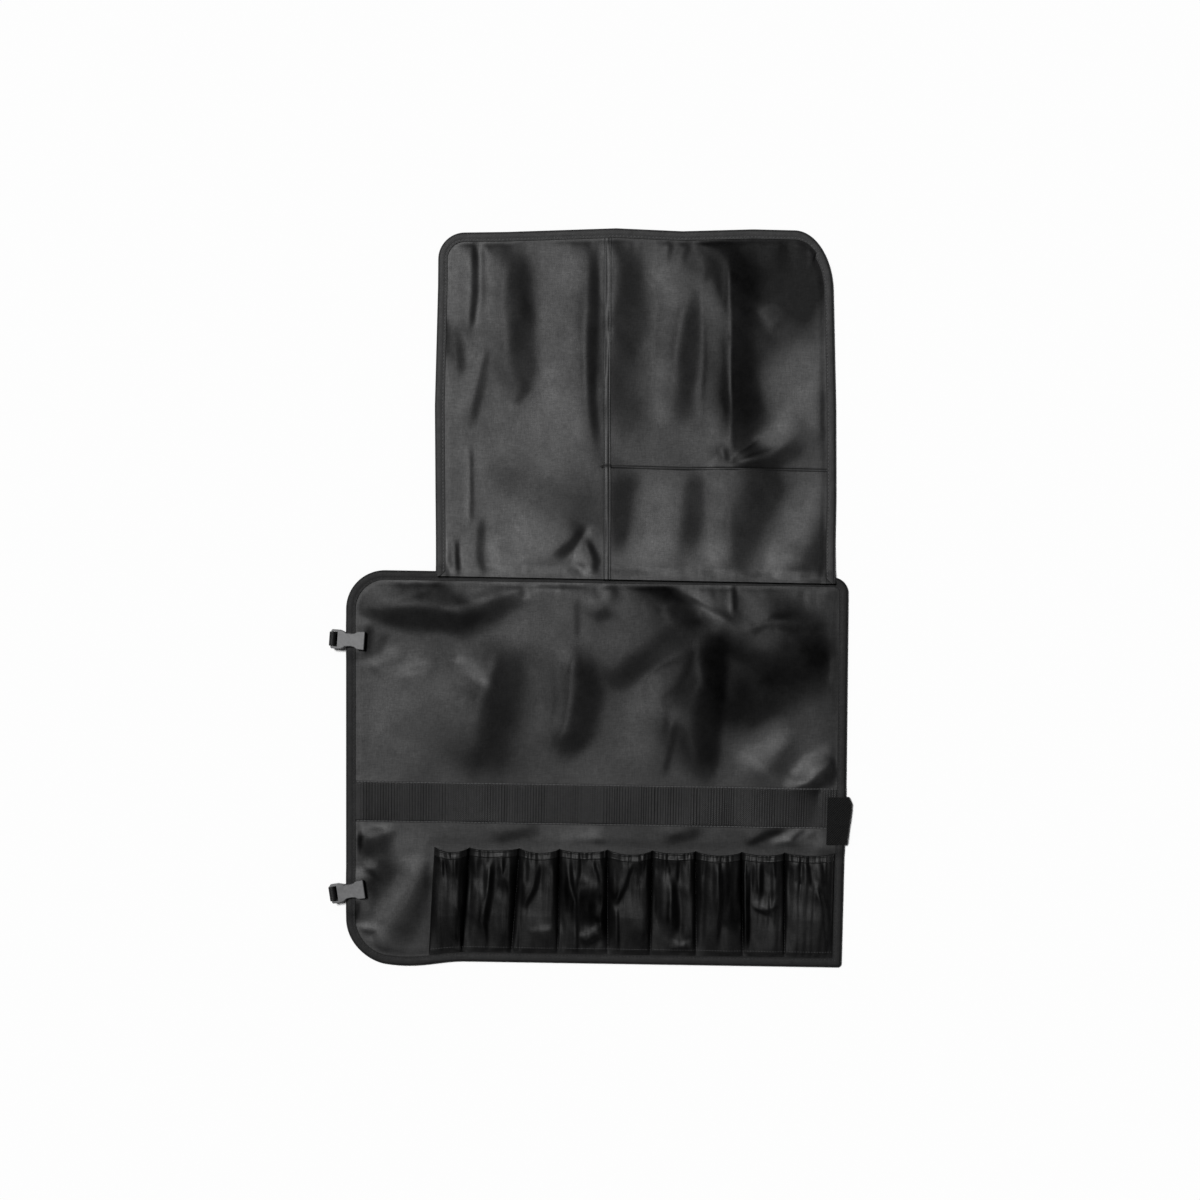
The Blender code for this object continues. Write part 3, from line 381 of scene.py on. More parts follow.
# Slope of cloth that turns to or from the light by a tone of one, and the light's azimuth in degrees
TONE_SLOPE = 0.27
PANEL_SLOPE = 0.33
POCKET_SLOPE = 0.40
LIGHT_AZIMUTH = 142.0
DRAPE_STEP = 0.0023
POCKET_DRAPE_STEP = 0.0012
DRAPE_ROUNDS = 600
HEIGHT_PULL = 0.0012
# Strength of the painted light and shade in the cloth's colour and gloss
PAINTED_SHADE_STRENGTH = 0.60

# Cloths and tapes: colour, roughness, gloss, fuzz, pitch of the weave, depth of its bump
STUFFS = {
    "panel_cloth": ((0.0065, 0.0065, 0.0067), 0.50, 0.34, 0.00, 0.00075, 0.00007),
    "flap_cloth": ((0.0085, 0.0085, 0.0088), 0.50, 0.40, 0.00, 0.00070, 0.00007),
    "hem_cloth": ((0.0040, 0.0040, 0.0041), 0.50, 0.29, 0.00, 0.00065, 0.00006),
    "pocket_cloth": ((0.0024, 0.0024, 0.0025), 0.50, 0.20, 0.00, 0.00065, 0.00006),
    "binding_tape": ((0.0060, 0.0060, 0.0062), 0.55, 0.19, 0.02, 0.00090, 0.00014),
    "flap_tape_cloth": ((0.0080, 0.0080, 0.0083), 0.52, 0.31, 0.02, 0.00090, 0.00014),
    "webbing": ((0.0050, 0.0050, 0.0052), 0.52, 0.24, 0.02, 0.00110, 0.00020),
    "strap_fleece": ((0.0030, 0.0030, 0.0031), 0.60, 0.14, 0.03, 0.00140, 0.00060),
    "thread": ((0.0480, 0.0480, 0.0490), 0.55, 0.40, 0.02, 0.00030, 0.00005),
    "dark_thread": ((0.0170, 0.0170, 0.0175), 0.55, 0.26, 0.02, 0.00030, 0.00005),
}
BUCKLE_COLOUR = (0.090, 0.090, 0.092)

PANEL_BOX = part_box("main_panel")
POCKET_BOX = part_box("pocket_1")
BASE = PANEL_BOX[0][2]
FLAP_POCKET_LEFT = FLAP_WIDTH - BINDING_WIDTH - FLAP_POCKET_WIDTH
LIFT = WEBBING_WALL + GAP
PANEL_TOP = BASE + CLOTH_WALL
SEAM_TOP = PANEL_TOP + GAP + TAPE_WALL
FLAP_FOOT = FLAP_OVERLAP + TAPE_WALL + LIFT_MARGIN
ROW_HEM = BINDING_WIDTH + HEM_GAP
ROW_END = PANEL_WIDTH - ROW_HEM
POCKET_MEAN = (ROW_END - POCKET_ROW_FROM_LEFT) / len(POCKETS)
LEFT = PANEL_BOX[0][0]
FOOT = POCKET_BOX[1][1] - (ROW_HEM + POCKET_DEPTH - PANEL_DROP * POCKET_ROW_FROM_LEFT / PANEL_WIDTH)


def eased(value):
    """Goes from 0 to 1 with level ends."""
    held = np.clip(value, 0.0, 1.0)
    return held * held * (3.0 - 2.0 * held)


def between(table, place, column=1):
    """Reads a column of a table at a place of its first column."""
    return np.interp(place, [row[0] for row in table], [row[column] for row in table])


def inside(value, low, high, slope):
    """1 between low and high, falling straight to 0 within the slope."""
    return np.clip(np.minimum(1.0 + (value - low) / slope, 1.0 + (high - value) / slope), 0.0, 1.0)


def noise(x, y, size, seed):
    """Smooth noise between -1 and 1, its bumps about as wide as size."""
    table = np.random.default_rng(seed).uniform(-1.0, 1.0, (128, 128))
    turn = 0.6 + seed
    u = (x * math.cos(turn) + y * math.sin(turn)) / size + 1000.0
    v = (y * math.cos(turn) - x * math.sin(turn)) / size + 1000.0
    i, j = np.floor(u).astype(int), np.floor(v).astype(int)
    s, t = eased(u - i), eased(v - j)
    near = table[i % 128, j % 128] * (1 - s) + table[(i + 1) % 128, j % 128] * s
    far = table[i % 128, (j + 1) % 128] * (1 - s) + table[(i + 1) % 128, (j + 1) % 128] * s
    return near * (1 - t) + far * t


def rounded(x, y, width, depth, corners):
    """Moves points of a rectangle's grid so that the rectangle's corners are round."""
    for k, (across, down) in enumerate(corners):
        right, upper = k % 2, k // 2
        a = (width - x if right else x) / across
        b = (depth - y if upper else y) / down
        p, q = 1.0 - a, 1.0 - b
        corner = (p > 0.0) & (q > 0.0)
        pull = np.maximum(p, q) / np.maximum(np.hypot(p, q), 1e-9)
        a = np.where(corner, 1.0 - p * pull, a)
        b = np.where(corner, 1.0 - q * pull, b)
        x = width - a * across if right else a * across
        y = depth - b * down if upper else b * down
    return x, y


def panel_plan(x, y):
    """Where points of the flat-cut panel lie, in the model's frame."""
    x, y = rounded(x, y, PANEL_WIDTH, PANEL_DEPTH, PANEL_CORNERS)
    across, up = x / PANEL_WIDTH, y / PANEL_DEPTH
    sag = np.sin(np.pi * np.minimum(1.0, across / 0.24)) ** 2 * (1.0 - eased(up / 0.25))
    x = x - across * PANEL_WIDTH * between(RIGHT_SIDE, up)
    y = y - across * PANEL_DROP - PANEL_SAG * sag
    return x + LEFT, y + FOOT


def flap_plan(x, y):
    """Where points of the flat-cut flap lie, in the model's frame."""
    x, y = rounded(x, y, FLAP_WIDTH, FLAP_LENGTH, FLAP_CORNERS)
    across, up = x / FLAP_WIDTH, y / FLAP_LENGTH
    from_left = FLAP_WIDTH * between(FLAP_SIDES, up, 1)
    from_right = FLAP_WIDTH * between(FLAP_SIDES, up, 2)
    x = x + (1.0 - across) * from_left - across * from_right
    y = y - up * FLAP_LENGTH * between(FLAP_UPPER_EDGE, across)
    y = y - (1.0 - up) * FLAP_DROP * across
    start = FLAP_FROM_LEFT / PANEL_WIDTH * PANEL_DROP
    return x + FLAP_FROM_LEFT + LEFT, y + PANEL_DEPTH - start - FLAP_OVERLAP + FOOT


def on_photo(x, y):
    """Pixels of the photograph over points of the model."""
    return x / PIXEL + PIXEL_ACROSS, PIXEL_DOWN - y / PIXEL


def from_line(line, across, down):
    """How far places lie to the lower right of a line, how far along it, its length and share of width."""
    nearest = np.full(np.shape(across), 1e9)
    side = np.zeros(np.shape(across))
    run = np.zeros(np.shape(across))
    wide = np.ones(np.shape(across))
    passed = 0.0
    last = len(line) - 2
    for k, ((x, y, share), (next_x, next_y, next_share)) in enumerate(zip(line, line[1:])):
        run_x, run_y = next_x - x, next_y - y
        length = math.hypot(run_x, run_y)
        along = ((across - x) * run_x + (down - y) * run_y) / length
        held = np.clip(along, 0.0, length)
        free = ((k == 0) & (along < 0.0)) | ((k == last) & (along > length))
        off = ((across - x) * run_y - (down - y) * run_x) / length
        distance = np.hypot(off, along - held)
        here = np.where(free, off, np.sign(off) * distance)
        closer = distance < nearest
        side = np.where(closer, here, side)
        run = np.where(closer, passed + along, run)
        wide = np.where(closer, share + (next_share - share) * held / length, wide)
        nearest = np.where(closer, distance, nearest)
        passed += length
    return side, run, passed, wide


def bent(across, down, warp):
    """Pixels moved a little, so that lines drawn with them aren't straight."""
    return across + warp * noise(across, down, 55.0, 3), down + warp * noise(across, down, 60.0, 5)


def faded(run, length, end):
    """1 along a line, falling to 0 past its ends."""
    fade = end + 0.22 * length
    return eased((run + end) / fade) * eased((length + end - run) / fade)


def tones(table, x, y, warp, waves=1.0):
    """Sum of the strokes of a table at points of the model, a little uneven, over faint waves."""
    across, down = bent(*on_photo(x, y), warp)
    total = 0.10 * noise(across, 0.6 * down, 15.0, 7) + 0.16 * noise(across, 0.5 * down, 38.0, 13)
    total = total * waves
    uneven = 1.0 + 0.22 * noise(across, down, 26.0, 9)
    for line, upper_left, lower_right, tone in table:
        side, run, length, wide = from_line(line, across, down)
        width = np.where(side > 0.0, lower_right, upper_left) * wide * uneven
        reach = 1.35 + 0.45 * eased((upper_left + lower_right - 8.0) / 12.0)
        share = np.abs(side) / (reach * width)
        fading = faded(run, length, 0.35 * (upper_left + lower_right) + 2.0)
        core = 1.0 - eased((share - 0.20) / 0.80)
        halo = 1.0 - eased(share / 2.4)
        total = total + tone * fading * (0.78 * core + 0.28 * halo)
    return total * (1.0 + 0.15 * noise(across, down, 20.0, 11))


def draped(x, y, wanted, loose):
    """Heights over an even grid of flat places, never below zero, with the slopes wanted along the light.

    The cloth is held down where loose is 0. Each round moves the heights against the error of the slope
    along the light, a little of the slope across it, and the height itself, with a running start.
    """
    step = x[0, 1] - x[0, 0]
    away = (-math.cos(math.radians(LIGHT_AZIMUTH)), -math.sin(math.radians(LIGHT_AZIMUTH)))
    wished = wanted
    wanted = (wanted[:-1, :-1] + wanted[1:, :-1] + wanted[:-1, 1:] + wanted[1:, 1:]) / 4.0
    heed = np.minimum(0.35 + np.abs(wanted) / TONE_SLOPE, 1.35)
    free = (loose > 0.5) * 1.0
    level, ahead, pace = np.zeros(x.shape), np.zeros(x.shape), 1.0
    for _ in range(DRAPE_ROUNDS):
        rising = ahead[1:, :] - ahead[:-1, :]
        rise_y = (rising[:, :-1] + rising[:, 1:]) / 2.0
        rising = ahead[:, 1:] - ahead[:, :-1]
        rise_x = (rising[:-1, :] + rising[1:, :]) / 2.0
        error = heed * (away[0] * rise_x + away[1] * rise_y - wanted)
        aside = 0.06 * (away[0] * rise_y - away[1] * rise_x)
        pull_x = (away[0] * error - away[1] * aside) / 2.0
        pull_y = (away[1] * error + away[0] * aside) / 2.0
        pull = HEIGHT_PULL * ahead
        pull[1:, 1:] += pull_x + pull_y
        pull[1:, :-1] += pull_y - pull_x
        pull[:-1, 1:] += pull_x - pull_y
        pull[:-1, :-1] -= pull_x + pull_y
        moved = np.maximum(ahead - pull / 5.9, 0.0) * free
        faster = (1.0 + math.sqrt(1.0 + 4.0 * pace * pace)) / 2.0
        ahead = moved + (pace - 1.0) / faster * (moved - level)
        level, pace = moved, faster
    rise_y, rise_x = np.gradient(level)
    # The tone of light and shade that the slopes lack, later painted into the cloth's colour and gloss
    missing = wished - away[0] * rise_x - away[1] * rise_y
    return x[0], y[:, 0], level * step, missing / TONE_SLOPE


def painted_light_and_shade(drape, x, y):
    """Painted light and shade: how much lighter or darker the cloth's colour and gloss are painted where its
    relief alone can't give the tone.
    """
    return np.clip(PAINTED_SHADE_STRENGTH * read_drape(drape, x, y, 3), -0.72, 0.30)


def drape_panel():
    x, y = grid(PANEL_WIDTH, PANEL_DEPTH, DRAPE_STEP)
    return draped(x, y, PANEL_SLOPE * tones(PANEL_TONES, *panel_plan(x, y), 1.2), panel_loose(x, y))


def drape_flap():
    x, y = grid(FLAP_WIDTH, FLAP_LENGTH, DRAPE_STEP)
    return draped(x, y, TONE_SLOPE * tones(FLAP_TONES, *flap_plan(x, y), 1.2), flap_loose(x, y))


def drape_pockets():
    start = POCKET_ROW_FROM_LEFT + POCKET_FIRST_LEAN * POCKET_MEAN
    x, y = grid(ROW_END - start, POCKET_DEPTH, POCKET_DRAPE_STEP, start, ROW_HEM)
    held = (y > ROW_HEM + 0.002) * (x > start + 0.002) * (x < ROW_END - 0.002) * 1.0
    return draped(x, y, POCKET_SLOPE * tones(POCKET_TONES, *panel_plan(x, y), 0.6, 0.4), held)


def read_drape(drape, x, y, layer=2):
    """Heights of a drape at flat places, or with the layer 3 the tone that its slopes lack."""
    across, up = drape[:2]
    height = drape[layer]
    u = np.clip((x - across[0]) / (across[1] - across[0]), 0.0, len(across) - 1.001)
    v = np.clip((y - up[0]) / (up[1] - up[0]), 0.0, len(up) - 1.001)
    i, j = np.floor(v).astype(int), np.floor(u).astype(int)
    s, t = u - j, v - i
    low = height[i, j] * (1 - s) + height[i, j + 1] * s
    high = height[i + 1, j] * (1 - s) + height[i + 1, j + 1] * s
    return low * (1 - t) + high * t


def crumple(x, y, seed):
    """Small creases of worn cloth, between -1 and 1."""
    broad = noise(x, y, 0.042, seed) + 0.5 * noise(x, y, 0.021, seed + 1)
    return 0.6 * broad + 0.1 * noise(x, y, 0.009, seed + 2)


def puckers(along, off, seed, reach):
    """Small gathers that a seam draws into the cloth beside it, fading with the distance from it."""
    wave = noise(along, off * 0.15, 0.011, seed) + 0.5 * noise(along, off * 0.2, 0.0055, seed + 1)
    return wave * np.exp(-((off / reach) ** 2))


def lifted(x, y):
    """1 where the panel lies on a strap, and 0 away from the straps."""
    share = np.zeros(np.shape(x))
    for _, height, turn in BUCKLES:
        swing = abs(math.sin(math.radians(turn))) * (BUCKLE_STRAP_LAP + BUCKLE_OVERHANG)
        half = BUCKLE_STRAP_WIDTH / 2 + swing + LIFT_MARGIN
        middle = height * PANEL_DEPTH
        here = eased(inside(x, 0.0, BUCKLE_STRAP_LAP + LIFT_MARGIN, 2.0 * LIFT_SLOPE))
        share = np.maximum(share, here * eased(inside(y, middle - half, middle + half, 2.0 * LIFT_SLOPE)))
    low = EDGE_STRAP_FROM_BOTTOM - LIFT_MARGIN
    high = EDGE_STRAP_FROM_BOTTOM + EDGE_STRAP_WIDTH + LIFT_MARGIN
    here = eased(inside(x, PANEL_WIDTH - EDGE_STRAP_LEG - LIFT_MARGIN, PANEL_WIDTH, 2.0 * LIFT_SLOPE))
    return np.maximum(share, here * eased(inside(y, low, high, 2.0 * LIFT_SLOPE)))


def clear_of_edges(x, y, width, depth, start, run):
    """0 within start of a rectangle's edges, rising to 1 over the run."""
    off = np.minimum(np.minimum(x, width - x), np.minimum(y, depth - y))
    return eased((off - start) / run)


def panel_loose(x, y):
    """1 where the panel is free to fold, 0 at its edges, under the pocket row and on the straps."""
    calm = clear_of_edges(x, y, PANEL_WIDTH, PANEL_DEPTH, BINDING_WIDTH, 0.008)
    over_row = eased(inside(x, POCKET_ROW_FROM_LEFT, PANEL_WIDTH, 0.012))
    over_row = over_row * (1.0 - eased((y - ROW_HEM - POCKET_DEPTH - GAP) / 0.012))
    return calm * (1.0 - over_row) * (1.0 - lifted(x, y))


def panel_under(x, y):
    """Height of the panel's underside at points of the flat-cut panel."""
    calm = panel_loose(x, y)
    place = panel_plan(x, y)
    folds = read_drape(PANEL_DRAPE, x, y)
    small = 0.00030 * crumple(*place, 20)
    off_top = PANEL_DEPTH - FLAP_OVERLAP - y
    seam = 0.0007 * puckers(x, off_top, 31, 0.022) + 0.0004 * puckers(y, x, 33, 0.018)
    seam = seam + 0.0004 * puckers(y, PANEL_WIDTH - x, 35, 0.018) + 0.0003 * puckers(x, y, 37, 0.014)
    return BASE + LIFT * lifted(x, y) + calm * np.maximum(folds + small + seam + 0.0005, 0.0)


def panel_upper(x, y):
    return panel_under(x, y) + CLOTH_WALL


def flap_loose(x, y):
    """1 where the flap is free to fold, 0 at its edges."""
    calm = clear_of_edges(x, y + BINDING_WIDTH, FLAP_WIDTH, FLAP_LENGTH + BINDING_WIDTH, BINDING_WIDTH, 0.007)
    return calm * eased((y - 0.002) / 0.010)


def flap_under(x, y):
    """Height of the flap's underside: bulging a little at its foot, then down to its own tape."""
    on_seam = 1.0 - eased((y - FLAP_FOOT) / (2.0 * FLAP_RISE_LENGTH))
    side = np.minimum(x, FLAP_WIDTH - x)
    over_tape = (1.0 - eased((side - BINDING_WIDTH) / 0.006)) * (1.0 - eased((y - FLAP_FOOT) / 0.010))
    calm = flap_loose(x, y)
    place = flap_plan(x, y)
    folds = read_drape(FLAP_DRAPE, x, y)
    small = 0.00030 * crumple(*place, 50)
    seam = 0.0008 * puckers(x, FLAP_LENGTH - y, 61, 0.018) + 0.0004 * puckers(y, x, 63, 0.014)
    seam = seam + 0.0004 * puckers(y, FLAP_WIDTH - x, 65, 0.014) + 0.0006 * puckers(x, y, 67, 0.014)
    rest = BASE + on_seam * (SEAM_TOP + GAP - BASE) + over_tape * (TAPE_WALL + GAP)
    rest = rest + FLAP_FOOT_BULGE * (1.0 - eased(y / FLAP_FOOT_LENGTH))
    return rest + calm * np.maximum(folds + small + seam + 0.0005, 0.0)


def flap_upper(x, y):
    return flap_under(x, y) + CLOTH_WALL


def body(name, points, faces, stuff, rides=True):
    """A mesh object of a stuff that rides on the frame."""
    mesh = bpy.data.meshes.new(name)
    mesh.from_pydata(np.asarray(points).tolist(), [], faces)
    mesh.validate()
    mesh.shade_smooth()
    mesh.set_sharp_from_angle(angle=math.radians(52))
    made = bpy.data.objects.new(name, mesh)
    bpy.context.scene.collection.objects.link(made)
    made.data.materials.append(material(stuff))
    if rides:
        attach(made, "root")
    return made


def quads(rows, columns, start, flip):
    """Faces of a grid of points that begins at an index."""
    index = np.arange(rows * columns).reshape(rows, columns) + start
    corners = (index[:-1, :-1], index[:-1, 1:], index[1:, 1:], index[1:, :-1])
    if flip:
        corners = corners[::-1]
    return np.stack(corners, axis=-1).reshape(-1, 4).tolist()


def closed_sheet(name, x, y, lower, upper, stuff, painted_shade=None):
    """A closed cloth sheet from grids of places, the heights of its two faces and its painted light and
    shade.
    """
    rows, columns = x.shape
    count = rows * columns
    points = np.concatenate([
        np.stack([x, y, lower], axis=-1).reshape(-1, 3),
        np.stack([x, y, upper], axis=-1).reshape(-1, 3),
    ])
    faces = quads(rows, columns, 0, True) + quads(rows, columns, count, False)
    index = np.arange(count).reshape(rows, columns)
    edge = np.concatenate([index[0, :-1], index[:-1, -1], index[-1, :0:-1], index[:0:-1, 0]])
    after = np.roll(edge, -1)
    faces += np.stack([edge, after, after + count, edge + count], axis=-1).tolist()
    sheet = body(name, points, faces, stuff)
    if painted_shade is not None:
        # Painted light and shade kept on the points, for the material's colour and gloss
        kept = sheet.data.attributes.new("painted_light_and_shade", "FLOAT", "POINT")
        kept.data.foreach_set("value", np.tile(painted_shade.reshape(-1), 2))
    return sheet


def grid(width, depth, step, start_x=0.0, start_y=0.0):
    """Flat places over a rectangle, in even steps."""
    across = np.linspace(start_x, start_x + width, max(2, round(width / step)) + 1)
    up = np.linspace(start_y, start_y + depth, max(2, round(depth / step)) + 1)
    return np.meshgrid(across, up)


def inset(x, y, width, depth, corners, by):
    """Places on a rectangle's edge, moved in from the edge and kept square to a round corner."""
    in_x, in_y = np.clip(x, by, width - by), np.clip(y, by, depth - by)
    for k, (across, down) in enumerate(corners):
        right, upper = k % 2, k // 2
        p = 1.0 - (width - x if right else x) / across
        q = 1.0 - (depth - y if upper else y) / down
        if min(across, down) <= by:
            continue
        corner = (p > 0.0) & (q > 0.0)
        a = across - (across - by) * p / np.maximum(np.maximum(p, q), 1e-9)
        b = down - (down - by) * q / np.maximum(np.maximum(p, q), 1e-9)
        in_x = np.where(corner, width - a if right else a, in_x)
        in_y = np.where(corner, depth - b if upper else b, in_y)
    return in_x, in_y


def edge_run(stops, step):
    """Flat places along straight stretches between stops, finer beside each stop."""
    places = []
    for (x, y), (next_x, next_y) in zip(stops, stops[1:]):
        length = math.hypot(next_x - x, next_y - y)
        count = max(2, round(length / step))
        share = np.linspace(0.0, 1.0, count, endpoint=False)
        fine = min(0.016, length / 4) / length
        close = np.linspace(0.0, fine, 8)
        share = np.unique(np.round(np.concatenate([share, close, 1.0 - close[1:]]), 6))
        places += [(x + (next_x - x) * s, y + (next_y - y) * s) for s in share]
    places.append(stops[-1])
    return np.array(places).T


class Edge:
    """The run of a sheet's edge that a folded tape goes round."""

    def __init__(self, places, closed, size, corners, plan, under, upper):
        self.x, self.y = places
        if closed:
            self.x, self.y = self.x[:-1], self.y[:-1]
        self.closed = closed
        self.size = size
        self.corners = corners
        self.plan = plan
        self.under = under
        self.upper = upper
        x, y = plan(self.x, self.y)
        if closed:
            step_x, step_y = np.roll(x, -1) - np.roll(x, 1), np.roll(y, -1) - np.roll(y, 1)
        else:
            step_x, step_y = np.gradient(x), np.gradient(y)
        length = np.maximum(np.hypot(step_x, step_y), 1e-9)
        self.out = (step_y / length, -step_x / length)
        self.spot = (x, y)

    def line(self, by, height):
        """Points on the sheet, in from its edge by a length, height above its upper face."""
        x, y = inset(self.x, self.y, *self.size, self.corners, by)
        return np.stack([*self.plan(x, y), self.upper(x, y) + height], axis=-1)

    def low_line(self, by, height):
        """The same below its lower face."""
        x, y = inset(self.x, self.y, *self.size, self.corners, by)
        return np.stack([*self.plan(x, y), self.under(x, y) - height], axis=-1)

    def beyond(self, by, share):
        """Points outside the edge, at a share of the way from its lower to its upper face."""
        under, upper = self.under(self.x, self.y), self.upper(self.x, self.y)
        x, y = self.spot[0] + self.out[0] * by, self.spot[1] + self.out[1] * by
        return np.stack([x, y, under + share * (upper - under)], axis=-1)


def lofted(name, rings, closed, stuff):
    """A closed tube through matching rings of points, capped where it has ends."""
    count, around = rings.shape[:2]
    index = np.arange(count * around).reshape(count, around)
    near = index if closed else index[:-1]
    far = np.roll(index, -1, axis=0) if closed else index[1:]
    faces = np.stack([near, np.roll(near, -1, axis=1), np.roll(far, -1, axis=1), far], axis=-1)
    faces = faces.reshape(-1, 4).tolist()
    if not closed:
        half = around // 2
        for row, flip in ((index[0], True), (index[-1], False)):
            for k in range(half - 1):
                corners = [row[k], row[k + 1], row[around - 2 - k], row[around - 1 - k]]
                faces.append([int(c) for c in (corners[::-1] if flip else corners)])
    return body(name, rings.reshape(-1, 3), faces, stuff)


def folded_tape(name, edge, stuff):
    """Tape folded round a sheet's edge, sunk a little along its stitches and full beside them."""
    seat, skin = GAP, GAP + TAPE_WALL
    waves = 0.00018 * noise(edge.spot[0], edge.spot[1], 0.009, 71)
    crown = ((1.0, 0.0), (0.93, 0.0), (0.80, -0.25), (0.62, 0.25), (0.40, 0.40), (0.18, 0.30), (0.03, 0.10))
    outer = []
    for share, swell in crown:
        line = edge.line(BINDING_WIDTH * share, skin + 0.0008 * swell)
        line[:, 2] += waves * (1.0 - share)
        outer.append(line)
    reach = skin + 0.0002
    nose = ((0.75, 1.15), (1.0, 0.75), (1.05, 0.45), (0.95, 0.10), (0.70, -0.25))
    outer += [edge.beyond(reach * out, share) for out, share in nose]
    outer += [edge.low_line(BINDING_WIDTH * share, skin) for share in (0.03, 0.30, 0.65, 1.0)]
    inner = [edge.low_line(BINDING_WIDTH * share, seat) for share in (1.0, 0.65, 0.30, 0.03)]
    inner_nose = ((0.8, 0.0), (1.0, 0.3), (1.0, 0.7), (0.8, 1.0))
    inner += [edge.beyond(seat * out, share) for out, share in inner_nose]
    inner_shares = (0.03, 0.18, 0.40, 0.62, 0.80, 0.90, 0.95, 1.0)
    inner += [edge.line(BINDING_WIDTH * share, seat) for share in inner_shares]
    rings = np.stack(outer + inner, axis=1)
    rings[:, :, 2] = np.maximum(rings[:, :, 2], 0.0)
    return lofted(name, rings, edge.closed, stuff)


def stitches(name, lines, length, pitch, width, stuff="thread"):
    """Rows of stitches, each a small rounded grain along its line."""
    grain_along = (-0.5, -0.38, 0.0, 0.38, 0.5)
    grain_thick = (0.0, 0.8, 1.0, 0.8, 0.0)
    sides = 6
    points, faces = [], []
    for line in lines:
        line = np.asarray(line)
        run = np.concatenate([[0.0], np.cumsum(np.linalg.norm(np.diff(line, axis=0), axis=1))])
        middles = np.arange(pitch / 2, run[-1], pitch)
        spots = np.stack([np.interp(middles, run, line[:, k]) for k in range(3)], axis=-1)
        ahead = np.stack([np.interp(middles + pitch / 4, run, line[:, k]) for k in range(3)], axis=-1)
        behind = np.stack([np.interp(middles - pitch / 4, run, line[:, k]) for k in range(3)], axis=-1)
        for spot, step in zip(spots, ahead - behind):
            size = np.linalg.norm(step)
            if size < 1e-6:
                continue
            step = step / size
            side = np.cross((0.0, 0.0, 1.0), step)
            side = side / np.linalg.norm(side)
            up = np.cross(step, side)
            start = len(points)
            for place, thick in zip(grain_along[1:-1], grain_thick[1:-1]):
                for k in range(sides):
                    turn = math.tau * k / sides
                    flat = side * math.cos(turn) * width / 2 + up * math.sin(turn) * width / 3
                    points.append(spot + step * place * length + flat * thick)
            tips = len(points)
            points.append(spot + step * grain_along[0] * length)
            points.append(spot + step * grain_along[-1] * length)
            for ring in range(2):
                a = start + ring * sides
                for k in range(sides):
                    after = (k + 1) % sides
                    faces.append([a + k, a + after, a + sides + after, a + sides + k])
            for k in range(sides):
                after = (k + 1) % sides
                faces.append([tips, start + after, start + k])
                last = start + 2 * sides
                faces.append([tips + 1, last + k, last + after])
    return body(name, points, faces, stuff)


# Materials


def linked(tree, kind, inputs=(), **settings):
    """A node with its settings, its inputs set to a number or linked to another node's output."""
    node = tree.nodes.new(kind)
    for key, value in settings.items():
        setattr(node, key, value)
    for key, value in dict(inputs).items():
        if isinstance(value, bpy.types.NodeSocket):
            tree.links.new(value, node.inputs[key])
        else:
            node.inputs[key].default_value = value
    return node


def weave_height(tree, place, pitch):
    """Height of a plain weave: threads over and under each other in a chequered order."""
    parts = linked(tree, "ShaderNodeSeparateXYZ", {0: place})
    turns = math.pi / pitch
    waves = []
    for axis in ("X", "Y"):
        scaled = linked(tree, "ShaderNodeMath", {0: parts.outputs[axis], 1: turns}, operation="MULTIPLY")
        waves.append(linked(tree, "ShaderNodeMath", {0: scaled.outputs[0]}, operation="SINE"))
    return linked(
        tree, "ShaderNodeMath", {0: waves[0].outputs[0], 1: waves[1].outputs[0]}, operation="MULTIPLY",
    ).outputs[0]


